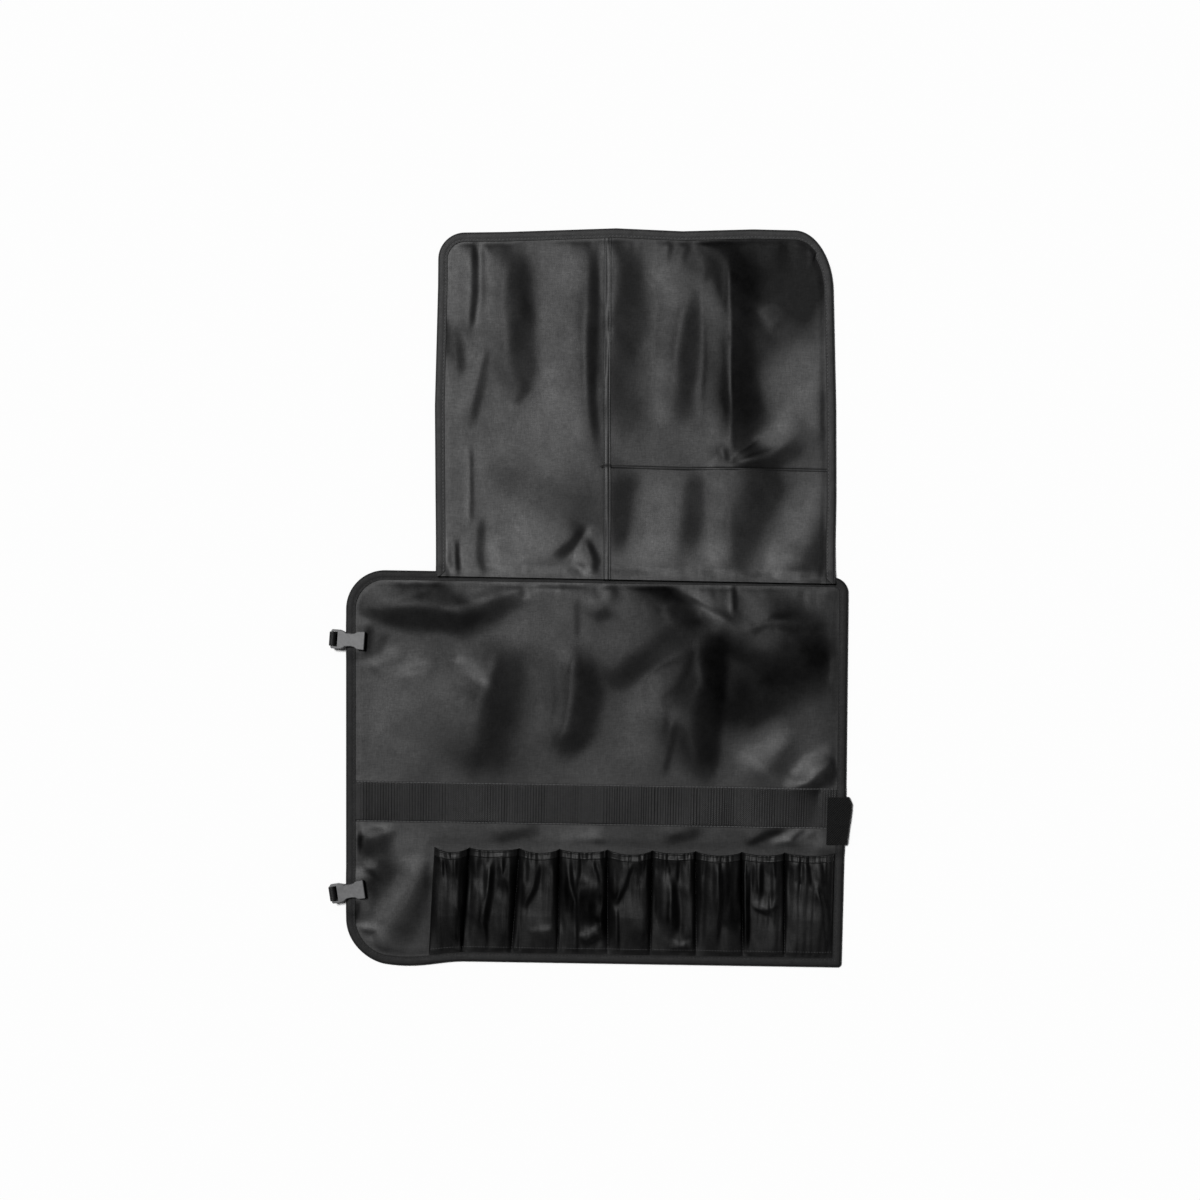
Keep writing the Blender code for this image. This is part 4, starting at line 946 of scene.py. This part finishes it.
def material(name):
    """One cloth, tape or thread material: woven bump, uneven threads, a colour that varies a little, and
    painted light and shade from the sheet's attribute in its colour and gloss.
    """
    if name in bpy.data.materials and bpy.data.materials[name].get("looks"):
        return bpy.data.materials[name]
    colour, roughness, gloss, fuzz, pitch, depth = STUFFS[name]
    made = bpy.data.materials.new("looks_" + name)
    made["looks"] = 1
    made.name = name
    made.use_nodes = True
    tree = made.node_tree
    shader = tree.nodes["Principled BSDF"]
    place = linked(tree, "ShaderNodeTexCoord").outputs["Object"]
    weave = weave_height(tree, place, pitch)
    threads = linked(
        tree, "ShaderNodeTexNoise",
        {"Vector": place, "Scale": 1.0 / (pitch * 2.2), "Detail": 3.0, "Roughness": 0.6},
    ).outputs["Fac"]
    uneven = linked(
        tree, "ShaderNodeTexNoise", {"Vector": place, "Scale": 90.0, "Detail": 5.0, "Roughness": 0.65},
    ).outputs["Fac"]
    worn = linked(
        tree, "ShaderNodeTexNoise", {"Vector": place, "Scale": 14.0, "Detail": 4.0, "Roughness": 0.55},
    ).outputs["Fac"]
    height = linked(tree, "ShaderNodeMath", {0: threads, 1: 0.9, 2: weave}, operation="MULTIPLY_ADD")
    bump = linked(
        tree, "ShaderNodeBump", {"Strength": 0.6, "Distance": depth, "Height": height.outputs[0]},
    )
    tree.links.new(bump.outputs["Normal"], shader.inputs["Normal"])
    mixed = linked(tree, "ShaderNodeMath", {0: uneven, 1: worn}, operation="ADD").outputs[0]
    ramp = linked(tree, "ShaderNodeMapRange", {0: mixed, 1: 0.75, 2: 1.25, 3: 0.82, 4: 1.18})
    # Painted light and shade: the sheet's attribute makes the colour and the gloss lighter or darker
    painted_shade = linked(tree, "ShaderNodeAttribute", attribute_name="painted_light_and_shade").outputs["Fac"]
    level = linked(tree, "ShaderNodeMath", {0: ramp.outputs[0], 1: painted_shade}, operation="ADD")
    tint = linked(tree, "ShaderNodeVectorMath", {0: colour, "Scale": level.outputs[0]}, operation="SCALE")
    tree.links.new(tint.outputs[0], shader.inputs["Base Color"])
    rough = linked(
        tree, "ShaderNodeMapRange", {0: mixed, 1: 0.75, 2: 1.25, 3: roughness - 0.04, 4: roughness + 0.05},
    )
    tree.links.new(rough.outputs[0], shader.inputs["Roughness"])
    streaks = []
    for stretch in ((150.0, 950.0, 150.0), (950.0, 150.0, 150.0)):
        along = linked(tree, "ShaderNodeVectorMath", {0: place, 1: stretch}, operation="MULTIPLY")
        spread = {"Vector": along.outputs[0], "Scale": 1.0, "Detail": 2.0}
        streaks.append(linked(tree, "ShaderNodeTexNoise", spread))
    both = linked(
        tree, "ShaderNodeMath", {0: streaks[0].outputs["Fac"], 1: streaks[1].outputs["Fac"]}, operation="ADD",
    )
    shine = linked(
        tree, "ShaderNodeMapRange", {0: both.outputs[0], 1: 0.7, 2: 1.3, 3: 0.78 * gloss, 4: 1.22 * gloss},
    )
    # Gloss with the painted light and shade in it
    parts = {0: painted_shade, 1: shine.outputs[0], 2: shine.outputs[0]}
    painted_gloss = linked(tree, "ShaderNodeMath", parts, operation="MULTIPLY_ADD")
    tree.links.new(painted_gloss.outputs[0], shader.inputs["Specular IOR Level"])
    shader.inputs["Sheen Weight"].default_value = fuzz
    shader.inputs["Sheen Roughness"].default_value = 0.45
    return made


def plastic():
    """Satin moulded plastic for the buckles."""
    made = bpy.data.materials.new("moulded_plastic")
    made.use_nodes = True
    tree = made.node_tree
    shader = tree.nodes["Principled BSDF"]
    place = linked(tree, "ShaderNodeTexCoord").outputs["Object"]
    grain = linked(
        tree, "ShaderNodeTexNoise", {"Vector": place, "Scale": 2600.0, "Detail": 2.0},
    ).outputs["Fac"]
    scuffs = linked(
        tree, "ShaderNodeTexNoise", {"Vector": place, "Scale": 160.0, "Detail": 6.0, "Roughness": 0.7},
    ).outputs["Fac"]
    bump = linked(tree, "ShaderNodeBump", {"Strength": 0.35, "Distance": 0.00006, "Height": grain})
    tree.links.new(bump.outputs["Normal"], shader.inputs["Normal"])
    ramp = linked(tree, "ShaderNodeMapRange", {0: scuffs, 1: 0.3, 2: 0.7, 3: 0.85, 4: 1.2})
    shade = {0: BUCKLE_COLOUR, "Scale": ramp.outputs[0]}
    tint = linked(tree, "ShaderNodeVectorMath", shade, operation="SCALE")
    tree.links.new(tint.outputs[0], shader.inputs["Base Color"])
    rough = linked(tree, "ShaderNodeMapRange", {0: scuffs, 1: 0.3, 2: 0.7, 3: 0.30, 4: 0.44})
    tree.links.new(rough.outputs[0], shader.inputs["Roughness"])
    return made


# Pieces


def make_panel():
    x, y = grid(PANEL_WIDTH, PANEL_DEPTH, PANEL_STEP)
    under = panel_under(x, y)
    place = panel_plan(x, y)
    # Painted light and shade for the panel's colour and gloss
    painted_shade = painted_light_and_shade(PANEL_DRAPE, x, y)
    panel = closed_sheet("panel_cloth_sheet", *place, under, under + CLOTH_WALL, "panel_cloth", painted_shade)
    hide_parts("main_panel")
    stops = [(0, 0), (PANEL_WIDTH, 0), (PANEL_WIDTH, PANEL_DEPTH), (0, PANEL_DEPTH), (0, 0)]
    edge = Edge(
        edge_run(stops, BINDING_STEP), True, (PANEL_WIDTH, PANEL_DEPTH), PANEL_CORNERS,
        panel_plan, panel_under, panel_upper,
    )
    tape = folded_tape("panel_tape", edge, "binding_tape")
    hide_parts("panel_binding")
    seam = edge.line(BINDING_WIDTH * 0.80, GAP + TAPE_WALL)
    hidden = (edge.y > PANEL_DEPTH - GAP) & (edge.x > FLAP_FROM_LEFT) & (edge.x < FLAP_FROM_LEFT + FLAP_WIDTH)
    first, last = np.flatnonzero(hidden)[[0, -1]]
    lines = [seam[:first], np.concatenate([seam[last + 1:], seam[:1]])]
    thread = stitches("panel_tape_stitches", lines, 0.0026, 0.0042, 0.0009, "dark_thread")
    band, band_thread = make_band()
    return panel


def make_band():
    """Ribbed webbing sewn across the panel."""
    start = BINDING_WIDTH + GAP
    width = PANEL_WIDTH - 2 * start
    across = np.linspace(start, start + width, 1060)
    edges = np.array([0.0, 0.008, 0.018, 0.035, 0.06, 0.10])
    shares = np.concatenate([edges, np.linspace(0.15, 0.85, 9), 1.0 - edges[::-1]])
    x, y = np.meshgrid(across, BAND_FROM_BOTTOM + shares * BAND_WIDTH)
    lower = panel_upper(x, y) + GAP
    rib = np.cos(math.tau * across / RIB_PITCH + 3.0 * noise(across, across * 0, 0.012, 81))
    rib = rib * (0.6 + 0.6 * noise(across, across * 0, 0.008, 82))
    rib = rib + 1.4 * noise(across, across * 0, 0.021, 83)
    share = np.broadcast_to(shares[:, None], x.shape)
    sewn = np.exp(-(((np.minimum(share, 1.0 - share) - SELVEDGE) / 0.012) ** 2))
    rounding = 1.0 - eased(np.minimum(share, 1.0 - share) / 0.035)
    ribbed = RIB_HEIGHT * rib[None, :] * (1.0 - sewn) * (1.0 - rounding)
    upper = lower + WEBBING_WALL - 0.0004 * sewn - 0.0006 * rounding + ribbed
    band = closed_sheet("webbing_band_ribbed", *panel_plan(x, y), lower, upper, "webbing")
    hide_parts("webbing_band")
    lines = []
    for place in (SELVEDGE, 1.0 - SELVEDGE):
        at = np.linspace(start + 0.001, start + width - 0.001, 400)
        up = np.full(at.shape, BAND_FROM_BOTTOM + place * BAND_WIDTH)
        top = panel_upper(at, up) + GAP + WEBBING_WALL - 0.0004
        lines.append(np.stack([*panel_plan(at, up), top], axis=-1))
    return band, stitches("webbing_band_stitches", lines, 0.0040, 0.0041, 0.0012)


def flap_face(x, y):
    """Height of the flap's upper face, drawn in a little along the slip pocket's mouth."""
    mouth = np.exp(-(((y - FLAP_POCKET_DEPTH - 0.0014) / 0.0011) ** 2))
    return flap_upper(x, y) - 0.0007 * mouth * (x > FLAP_POCKET_LEFT)


def with_rows(x, y, rows):
    """The same grid of flat places with more rows."""
    return np.meshgrid(x[0], np.unique(np.round(np.concatenate([y[:, 0], rows]), 6)))


def make_flap():
    x, y = grid(FLAP_WIDTH, FLAP_LENGTH - FLAP_START, FLAP_STEP, 0.0, FLAP_START)
    x, y = with_rows(x, y, FLAP_POCKET_DEPTH + np.linspace(-0.001, 0.004, 9))
    under = flap_under(x, y)
    # The flap carries painted light and shade in its colour and gloss
    flap = closed_sheet(
        "flap_cloth_sheet", *flap_plan(x, y), under, flap_face(x, y), "flap_cloth", painted_light_and_shade(FLAP_DRAPE, x, y),
    )
    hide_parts("flap")
    stops = [(FLAP_WIDTH, FLAP_START), (FLAP_WIDTH, FLAP_LENGTH), (0, FLAP_LENGTH), (0, FLAP_START)]
    edge = Edge(
        edge_run(stops, BINDING_STEP), False, (FLAP_WIDTH, FLAP_LENGTH), FLAP_CORNERS,
        flap_plan, flap_under, flap_upper,
    )
    tape = folded_tape("flap_tape", edge, "flap_tape_cloth")
    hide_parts("flap_binding")
    seam = edge.line(BINDING_WIDTH * 0.80, GAP + TAPE_WALL)
    thread = stitches("flap_tape_stitches", [seam], 0.0026, 0.0042, 0.0011)
    x, y = grid(
        FLAP_POCKET_WIDTH - GAP, FLAP_POCKET_DEPTH - FLAP_START, FLAP_STEP, FLAP_POCKET_LEFT, FLAP_START,
    )
    x, y = with_rows(x, y, FLAP_POCKET_DEPTH - np.linspace(0.0, 0.003, 6))
    rim = np.clip((FLAP_POCKET_DEPTH - y) / 0.0012, 0.0, 1.0)
    lower = flap_upper(x, y) + GAP
    upper = lower + FLAP_POCKET_WALL * (0.35 + 0.65 * np.sqrt(rim))
    # The slip pocket carries painted light and shade too
    pocket = closed_sheet(
        "flap_slip_pocket", *flap_plan(x, y), lower, upper, "flap_cloth", painted_light_and_shade(FLAP_DRAPE, x, y),
    )
    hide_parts("flap_pocket")
    fold, fold_thread = make_seam_fold()


def make_seam_fold():
    """The sewn fold that runs up the flap from the slip pocket's left edge."""
    shares = np.array([0.0, 0.04, 0.10, 0.17, 0.24, 0.32, 0.50, 0.68, 0.76, 0.83, 0.90, 0.96, 1.0])
    full = np.array([0.0, 0.75, 0.95, 0.45, 0.45, 0.95, 1.0, 0.95, 0.45, 0.45, 0.95, 0.75, 0.0])
    start = FLAP_POCKET_LEFT + SEAM_FOLD_IN
    ups = np.arange(FLAP_START, FLAP_LENGTH - BINDING_WIDTH, 0.0015)
    x, y = np.meshgrid(start + shares * SEAM_FOLD_WIDTH, ups)

    def seat(x, y):
        on_pocket = 1.0 - eased((y - FLAP_POCKET_DEPTH) / 0.004)
        return flap_upper(x, y) + GAP + (FLAP_POCKET_WALL + GAP) * on_pocket

    lower = seat(x, y)
    upper = lower + 0.0002 + SEAM_FOLD_WALL * full[None, :]
    fold = closed_sheet("flap_seam_fold", *flap_plan(x, y), lower, upper, "flap_cloth")
    lines = []
    for share in (0.205, 0.795):
        across = np.full(ups.shape, start + share * SEAM_FOLD_WIDTH)
        top = seat(across, ups) + 0.0002 + 0.5 * SEAM_FOLD_WALL
        lines.append(np.stack([*flap_plan(across, ups), top], axis=-1))
    return fold, stitches("flap_seam_stitches", lines, 0.0022, 0.0030, 0.0006)


def pocket_surface(k, share, up):
    """Place, height over the panel and painted light and shade of pocket k, at shares of its width and depth.
    """
    dividers = [0.0] + [row[0] for row in POCKETS]
    leans = [POCKET_FIRST_LEAN] + [row[1] for row in POCKETS]
    row_width = ROW_END - POCKET_ROW_FROM_LEFT
    low_x = POCKET_ROW_FROM_LEFT + dividers[k] * row_width + leans[k] * POCKET_MEAN * (1.0 - up)
    high_x = POCKET_ROW_FROM_LEFT + dividers[k + 1] * row_width + leans[k + 1] * POCKET_MEAN * (1.0 - up)
    rise, dip = POCKETS[k][2] * POCKET_MEAN, POCKETS[k][3] * POCKET_MEAN
    curve = np.sin(np.pi * np.clip(share, 0.0, 1.0))
    x = low_x + share * (high_x - low_x)
    y = ROW_HEM + up * POCKET_DEPTH - dip * up * curve
    place = panel_plan(x, y)
    off_middle = np.abs(2.0 * np.clip(share, 0.0, 1.0) - 1.0)
    arch = between(POCKET_PROFILE, up) * 0.8 * rise * (1.0 - off_middle**5)
    free = eased(np.minimum(share, 1.0 - share) / 0.05) * eased(up / 0.05)
    folds = read_drape(POCKET_DRAPE, x, y)
    below_mouth = (1.0 - up) * POCKET_DEPTH
    gather = noise(x, below_mouth * 0.12, 0.0042, 91) * np.exp(-below_mouth / 0.022)
    hem = noise(x, up * 0.01, 0.0060, 94) * np.exp(-up * POCKET_DEPTH / 0.016)
    small = 0.0006 * gather + 0.0004 * hem + 0.0002 * noise(x, y * 0.4, 0.008, 95)
    small = small + 0.0003 * noise(x, y * 0.25, 0.0055, 96)
    creased = np.abs(noise(x, below_mouth * 0.10, 0.0050, 99)) * np.exp(-below_mouth / 0.040)
    creased = 0.0020 * creased + 0.0011 * np.abs(noise(x, y * 0.10, 0.0085, 103))
    small = small + creased
    flutter = 0.0010 * eased((0.10 - share) / 0.10) * eased((up - 0.05) / 0.3) * (k == 0)
    return place, np.maximum(arch + free * (folds + small) + flutter, 0.0), painted_light_and_shade(POCKET_DRAPE, x, y)


def make_pockets():
    """The gathered strip with its nine pockets, and the elastic hem along the mouths."""
    shares = np.linspace(0.0, 1.0, POCKET_COLUMNS + 1)
    ups = np.linspace(0.0, 1.0, POCKET_ROWS + 1)
    columns = []
    for k in range(len(POCKETS)):
        used = shares if k == 0 else shares[1:]
        share, up = np.meshgrid(used, ups)
        (x, y), height, painted_shade = pocket_surface(k, share, up)
        columns.append((x, y, height, painted_shade))
    x, y, height, painted_shade = [np.concatenate([part[n] for part in columns], axis=1) for n in range(4)]
    lower = PANEL_TOP + GAP + height
    # The strip carries painted light and shade in its colour and gloss
    strip = closed_sheet("pocket_strip", x, y, lower, lower + POCKET_WALL, "pocket_cloth", painted_shade)
    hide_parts(*[f"pocket_{k + 1}" for k in range(len(POCKETS))])
    elastic = make_elastic(columns)
    lines = []
    hem_up = 0.055
    for k in range(len(POCKETS)):
        at = np.linspace(0.02, 0.98, 24)
        (hx, hy), hz, _ = pocket_surface(k, at, np.full(at.shape, hem_up))
        lines.append(np.stack([hx, hy, PANEL_TOP + GAP + hz + POCKET_WALL], axis=-1))
    for k in range(1, len(POCKETS)):
        rise = np.linspace(0.04, 0.90, 60)
        (vx, vy), vz, _ = pocket_surface(k, np.zeros(rise.shape), rise)
        lines.append(np.stack([vx, vy, PANEL_TOP + GAP + vz + POCKET_WALL], axis=-1))
    thread = stitches("pocket_stitches", lines, 0.0022, 0.0032, 0.0004)


def make_elastic(columns):
    """Hem with elastic in it, along the pockets' mouths, ruched and with a cord-like upper rim."""
    across = np.linspace(0.0, 1.0, 27)
    swell = sum(np.cos(np.clip((across - bead) / 0.13, -1.0, 1.0) * math.pi / 2) ** 2 for bead in HEM_BEADS)
    swell = eased(np.minimum(across, 1.0 - across) / 0.03) * (0.5 + 0.5 * swell)
    shares = np.linspace(0.0, 1.0, 2 * POCKET_COLUMNS + 1)
    parts = []
    for k in range(len(POCKETS)):
        used = shares if k == 0 else shares[1:]
        share, place = np.meshgrid(used, across)
        up = 1.0 - (1.0 - place) * ELASTIC_WIDTH / POCKET_DEPTH
        (x, y), height, _ = pocket_surface(k, share, up)
        parts.append((x, y, height, np.broadcast_to(swell[:, None], x.shape)))
    x, y, height, full = [np.concatenate([part[n] for part in parts], axis=1) for n in range(4)]
    ruche = 0.00005 * noise(x, y * 0.3, 0.0022, 97) + 0.00005 * noise(x, y, 0.005, 98)
    lower = PANEL_TOP + GAP + height + POCKET_WALL + GAP
    upper = lower + 0.0002 + (ELASTIC_WALL + ruche) * full
    elastic = closed_sheet("mouth_elastic_hem", x, y, lower, upper, "hem_cloth")
    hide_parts("mouth_elastic")
    return elastic


def ribbon(name, path, width, wall, columns, shape, stuff):
    """Webbing of even wall along a path of (x, z) points, then placed by a function of its points."""
    path = np.asarray(path)
    step = np.gradient(path, axis=0)
    step = step / np.linalg.norm(step, axis=1)[:, None]
    side = np.stack([-step[:, 1], step[:, 0]], axis=-1) * wall / 2.0
    shares = np.linspace(0.0, 1.0, columns)
    pinch = 1.0 - 0.45 * (1.0 - eased(np.minimum(shares, 1.0 - shares) / 0.05))
    grids = []
    for sign in (-1.0, 1.0):
        x = path[:, None, 0] + sign * side[:, None, 0] * pinch[None, :]
        z = path[:, None, 1] + sign * side[:, None, 1] * pinch[None, :]
        y = np.broadcast_to(shares[None, :] * width, x.shape)
        grids.append(np.stack(shape(x, y, z, shares[None, :]), axis=-1))
    rows, count = grids[0].shape[:2]
    points = np.concatenate([grid_points.reshape(-1, 3) for grid_points in grids])
    total = rows * count
    faces = quads(rows, count, 0, False) + quads(rows, count, total, True)
    index = np.arange(total).reshape(rows, count)
    edge = np.concatenate([index[0, :-1], index[:-1, -1], index[-1, :0:-1], index[:0:-1, 0]])
    after = np.roll(edge, -1)
    faces += np.stack([edge + total, after + total, after, edge], axis=-1).tolist()
    return body(name, points, faces, stuff)


def arc(centre, radius, start, end, count):
    """Points of a circle's arc, from the start angle to the end angle in degrees."""
    angles = np.radians(np.linspace(start, end, count + 1))
    return np.stack([centre[0] + radius * np.cos(angles), centre[1] + radius * np.sin(angles)], axis=-1)


def straight(start, end, count):
    share = np.linspace(0.0, 1.0, count + 1)[:, None]
    return np.asarray(start) * (1.0 - share) + np.asarray(end) * share


NOSE = ((0.00, 0.46), (0.16, 0.56), (0.72, 1.00), (0.86, 1.00), (1.00, 0.60))


def make_edge_strap():
    """Looped strap folded round the taped right edge."""
    ends = panel_plan(np.array([PANEL_WIDTH] * 2), EDGE_STRAP_FROM_BOTTOM + np.array([0.0, EDGE_STRAP_WIDTH]))
    low_x, high_x = ends[0]
    low_y, high_y = ends[1]
    low = WEBBING_WALL / 2.0
    high = LIFT + SEAM_TOP + GAP + WEBBING_WALL / 2.0 + 0.0004
    radius = (high - low) / 2.0
    fold = EDGE_STRAP_REACH - WEBBING_WALL / 2.0 - radius
    path = np.concatenate([
        straight((-EDGE_STRAP_LEG, low), (fold, low), 24)[:-1],
        arc((fold, low + radius), radius, -90, 90, 14),
        straight((fold, high), (-EDGE_STRAP_LEG, high), 24)[1:],
    ])

    def shape(x, y, z, share):
        reach = between(NOSE, share)
        x = x + np.maximum(0.0, path[:, None, 0]) * (reach - 1.0)
        x = x + low_x + (high_x - low_x) * y / EDGE_STRAP_WIDTH
        y = low_y + y * (high_y - low_y) / EDGE_STRAP_WIDTH
        fuzz = 0.00045 * noise(x, y + z, 0.0026, 101) + 0.0006 * noise(x, y + z, 0.009, 102)
        top = eased((z - low - radius) / radius)
        return x, y, z + np.maximum(fuzz + 0.0005, 0.0) * top

    strap = ribbon("edge_strap_looped", path, EDGE_STRAP_WIDTH, WEBBING_WALL, 44, shape, "strap_fleece")
    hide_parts("edge_strap")


def make_buckle_strap(label, height, turn):
    """Webbing from under the panel, up round the buckle's bar and down through its slot."""
    bar_z = LIFT + SEAM_TOP + GAP + BUCKLE_THICKNESS / 2.0
    half_wall = WEBBING_WALL / 2.0
    bar_x = BUCKLE_BAR / 2.0
    radius = math.hypot(BUCKLE_BAR, BUCKLE_BAR) / 2.0 + GAP + half_wall
    end = BUCKLE_OVERHANG + BUCKLE_STRAP_LAP
    tail_z = half_wall + WEBBING_WALL + GAP
    slot_x = bar_x + radius
    path = np.concatenate([
        straight((end, half_wall), (bar_x, half_wall), 16)[:-1],
        arc((bar_x, half_wall + radius), radius, 270, 190, 8),
        arc((bar_x, bar_z), radius, 180, 0, 16),
        arc((slot_x + radius, tail_z + radius), radius, 190, 262, 8),
        straight((slot_x + radius, tail_z), (BUCKLE_STRAP_TAIL, tail_z), 2)[1:],
    ])
    middle_x, middle_y = panel_plan(np.array([0.0]), np.array([height * PANEL_DEPTH]))
    angle = math.radians(turn)

    def shape(x, y, z, share):
        across = y - BUCKLE_STRAP_WIDTH / 2.0
        rib = 0.00008 * np.cos(math.tau * share * 9)
        turned_x = x * math.cos(angle) - across * math.sin(angle) + middle_x[0] - BUCKLE_OVERHANG
        turned_y = x * math.sin(angle) + across * math.cos(angle) + middle_y[0]
        return turned_x, turned_y, z + rib * (z > bar_z)

    strap = ribbon(
        f"buckle_{label}_webbing", path, BUCKLE_STRAP_WIDTH, WEBBING_WALL, 37, shape, "webbing",
    )
    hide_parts(f"buckle_strap_{label}")


def dress_buckles():
    finish = plastic()
    for label, height, turn in BUCKLES:
        make_buckle_strap(label, height, turn)
        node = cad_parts[f"buckle_{label}"]
        for place in node.material_slots:
            place.material = finish


# Light, floor and camera


def aimed(thing, spot, target):
    thing.location = spot
    thing.rotation_euler = (Vector(target) - Vector(spot)).to_track_quat("-Z", "Y").to_euler()


def softlight(name, azimuth, elevation, spread, strength):
    """Even light from far away, as from a large softbox: its directions in degrees."""
    light = bpy.data.lights.new(name, "SUN")
    light.angle = math.radians(spread)
    light.energy = strength
    lamp = bpy.data.objects.new(name, light)
    bpy.context.scene.collection.objects.link(lamp)
    flat = math.cos(math.radians(elevation))
    spot = (
        flat * math.cos(math.radians(azimuth)), flat * math.sin(math.radians(azimuth)),
        math.sin(math.radians(elevation)),
    )
    aimed(lamp, spot, (0.0, 0.0, 0.0))


def make_studio():
    side = 6.0
    mesh = bpy.data.meshes.new("studio_floor")
    corners = [(-side, -side, -0.0004), (side, -side, -0.0004), (side, side, -0.0004), (-side, side, -0.0004)]
    mesh.from_pydata(corners, [], [(0, 1, 2, 3)])
    floor = bpy.data.objects.new("studio_floor", mesh)
    bpy.context.scene.collection.objects.link(floor)
    paint = bpy.data.materials.new("studio_white")
    paint.use_nodes = True
    shader = paint.node_tree.nodes["Principled BSDF"]
    shader.inputs["Base Color"].default_value = (0.92, 0.92, 0.92, 1.0)
    shader.inputs["Roughness"].default_value = 0.9
    shader.inputs["Specular IOR Level"].default_value = 0.1
    mesh.materials.append(paint)
    softlight("key", LIGHT_AZIMUTH, 67.0, 14.0, 3.45)
    world = bpy.data.worlds.new("studio")
    world.use_nodes = True
    sky = world.node_tree.nodes["Background"]
    sky.inputs["Color"].default_value = (1.0, 1.0, 1.0, 1.0)
    sky.inputs["Strength"].default_value = 0.06
    bpy.context.scene.world = world
    bpy.context.scene.view_settings.view_transform = "Standard"


def make_camera():
    """Straight above the roll, as in the photograph."""
    centre = PHOTO_SIDE / 2
    data = bpy.data.cameras.new("camera")
    data.sensor_fit = "HORIZONTAL"
    data.angle = 2.0 * math.atan(centre * PIXEL / CAMERA_HEIGHT)
    camera = bpy.data.objects.new("camera", data)
    camera.location = ((centre - PIXEL_ACROSS) * PIXEL, (PIXEL_DOWN - centre) * PIXEL, CAMERA_HEIGHT)
    bpy.context.scene.collection.objects.link(camera)
    bpy.context.scene.camera = camera


PANEL_DRAPE = drape_panel()
FLAP_DRAPE = drape_flap()
POCKET_DRAPE = drape_pockets()
make_panel()
make_flap()
make_pockets()
make_edge_strap()
dress_buckles()
make_studio()
make_camera()
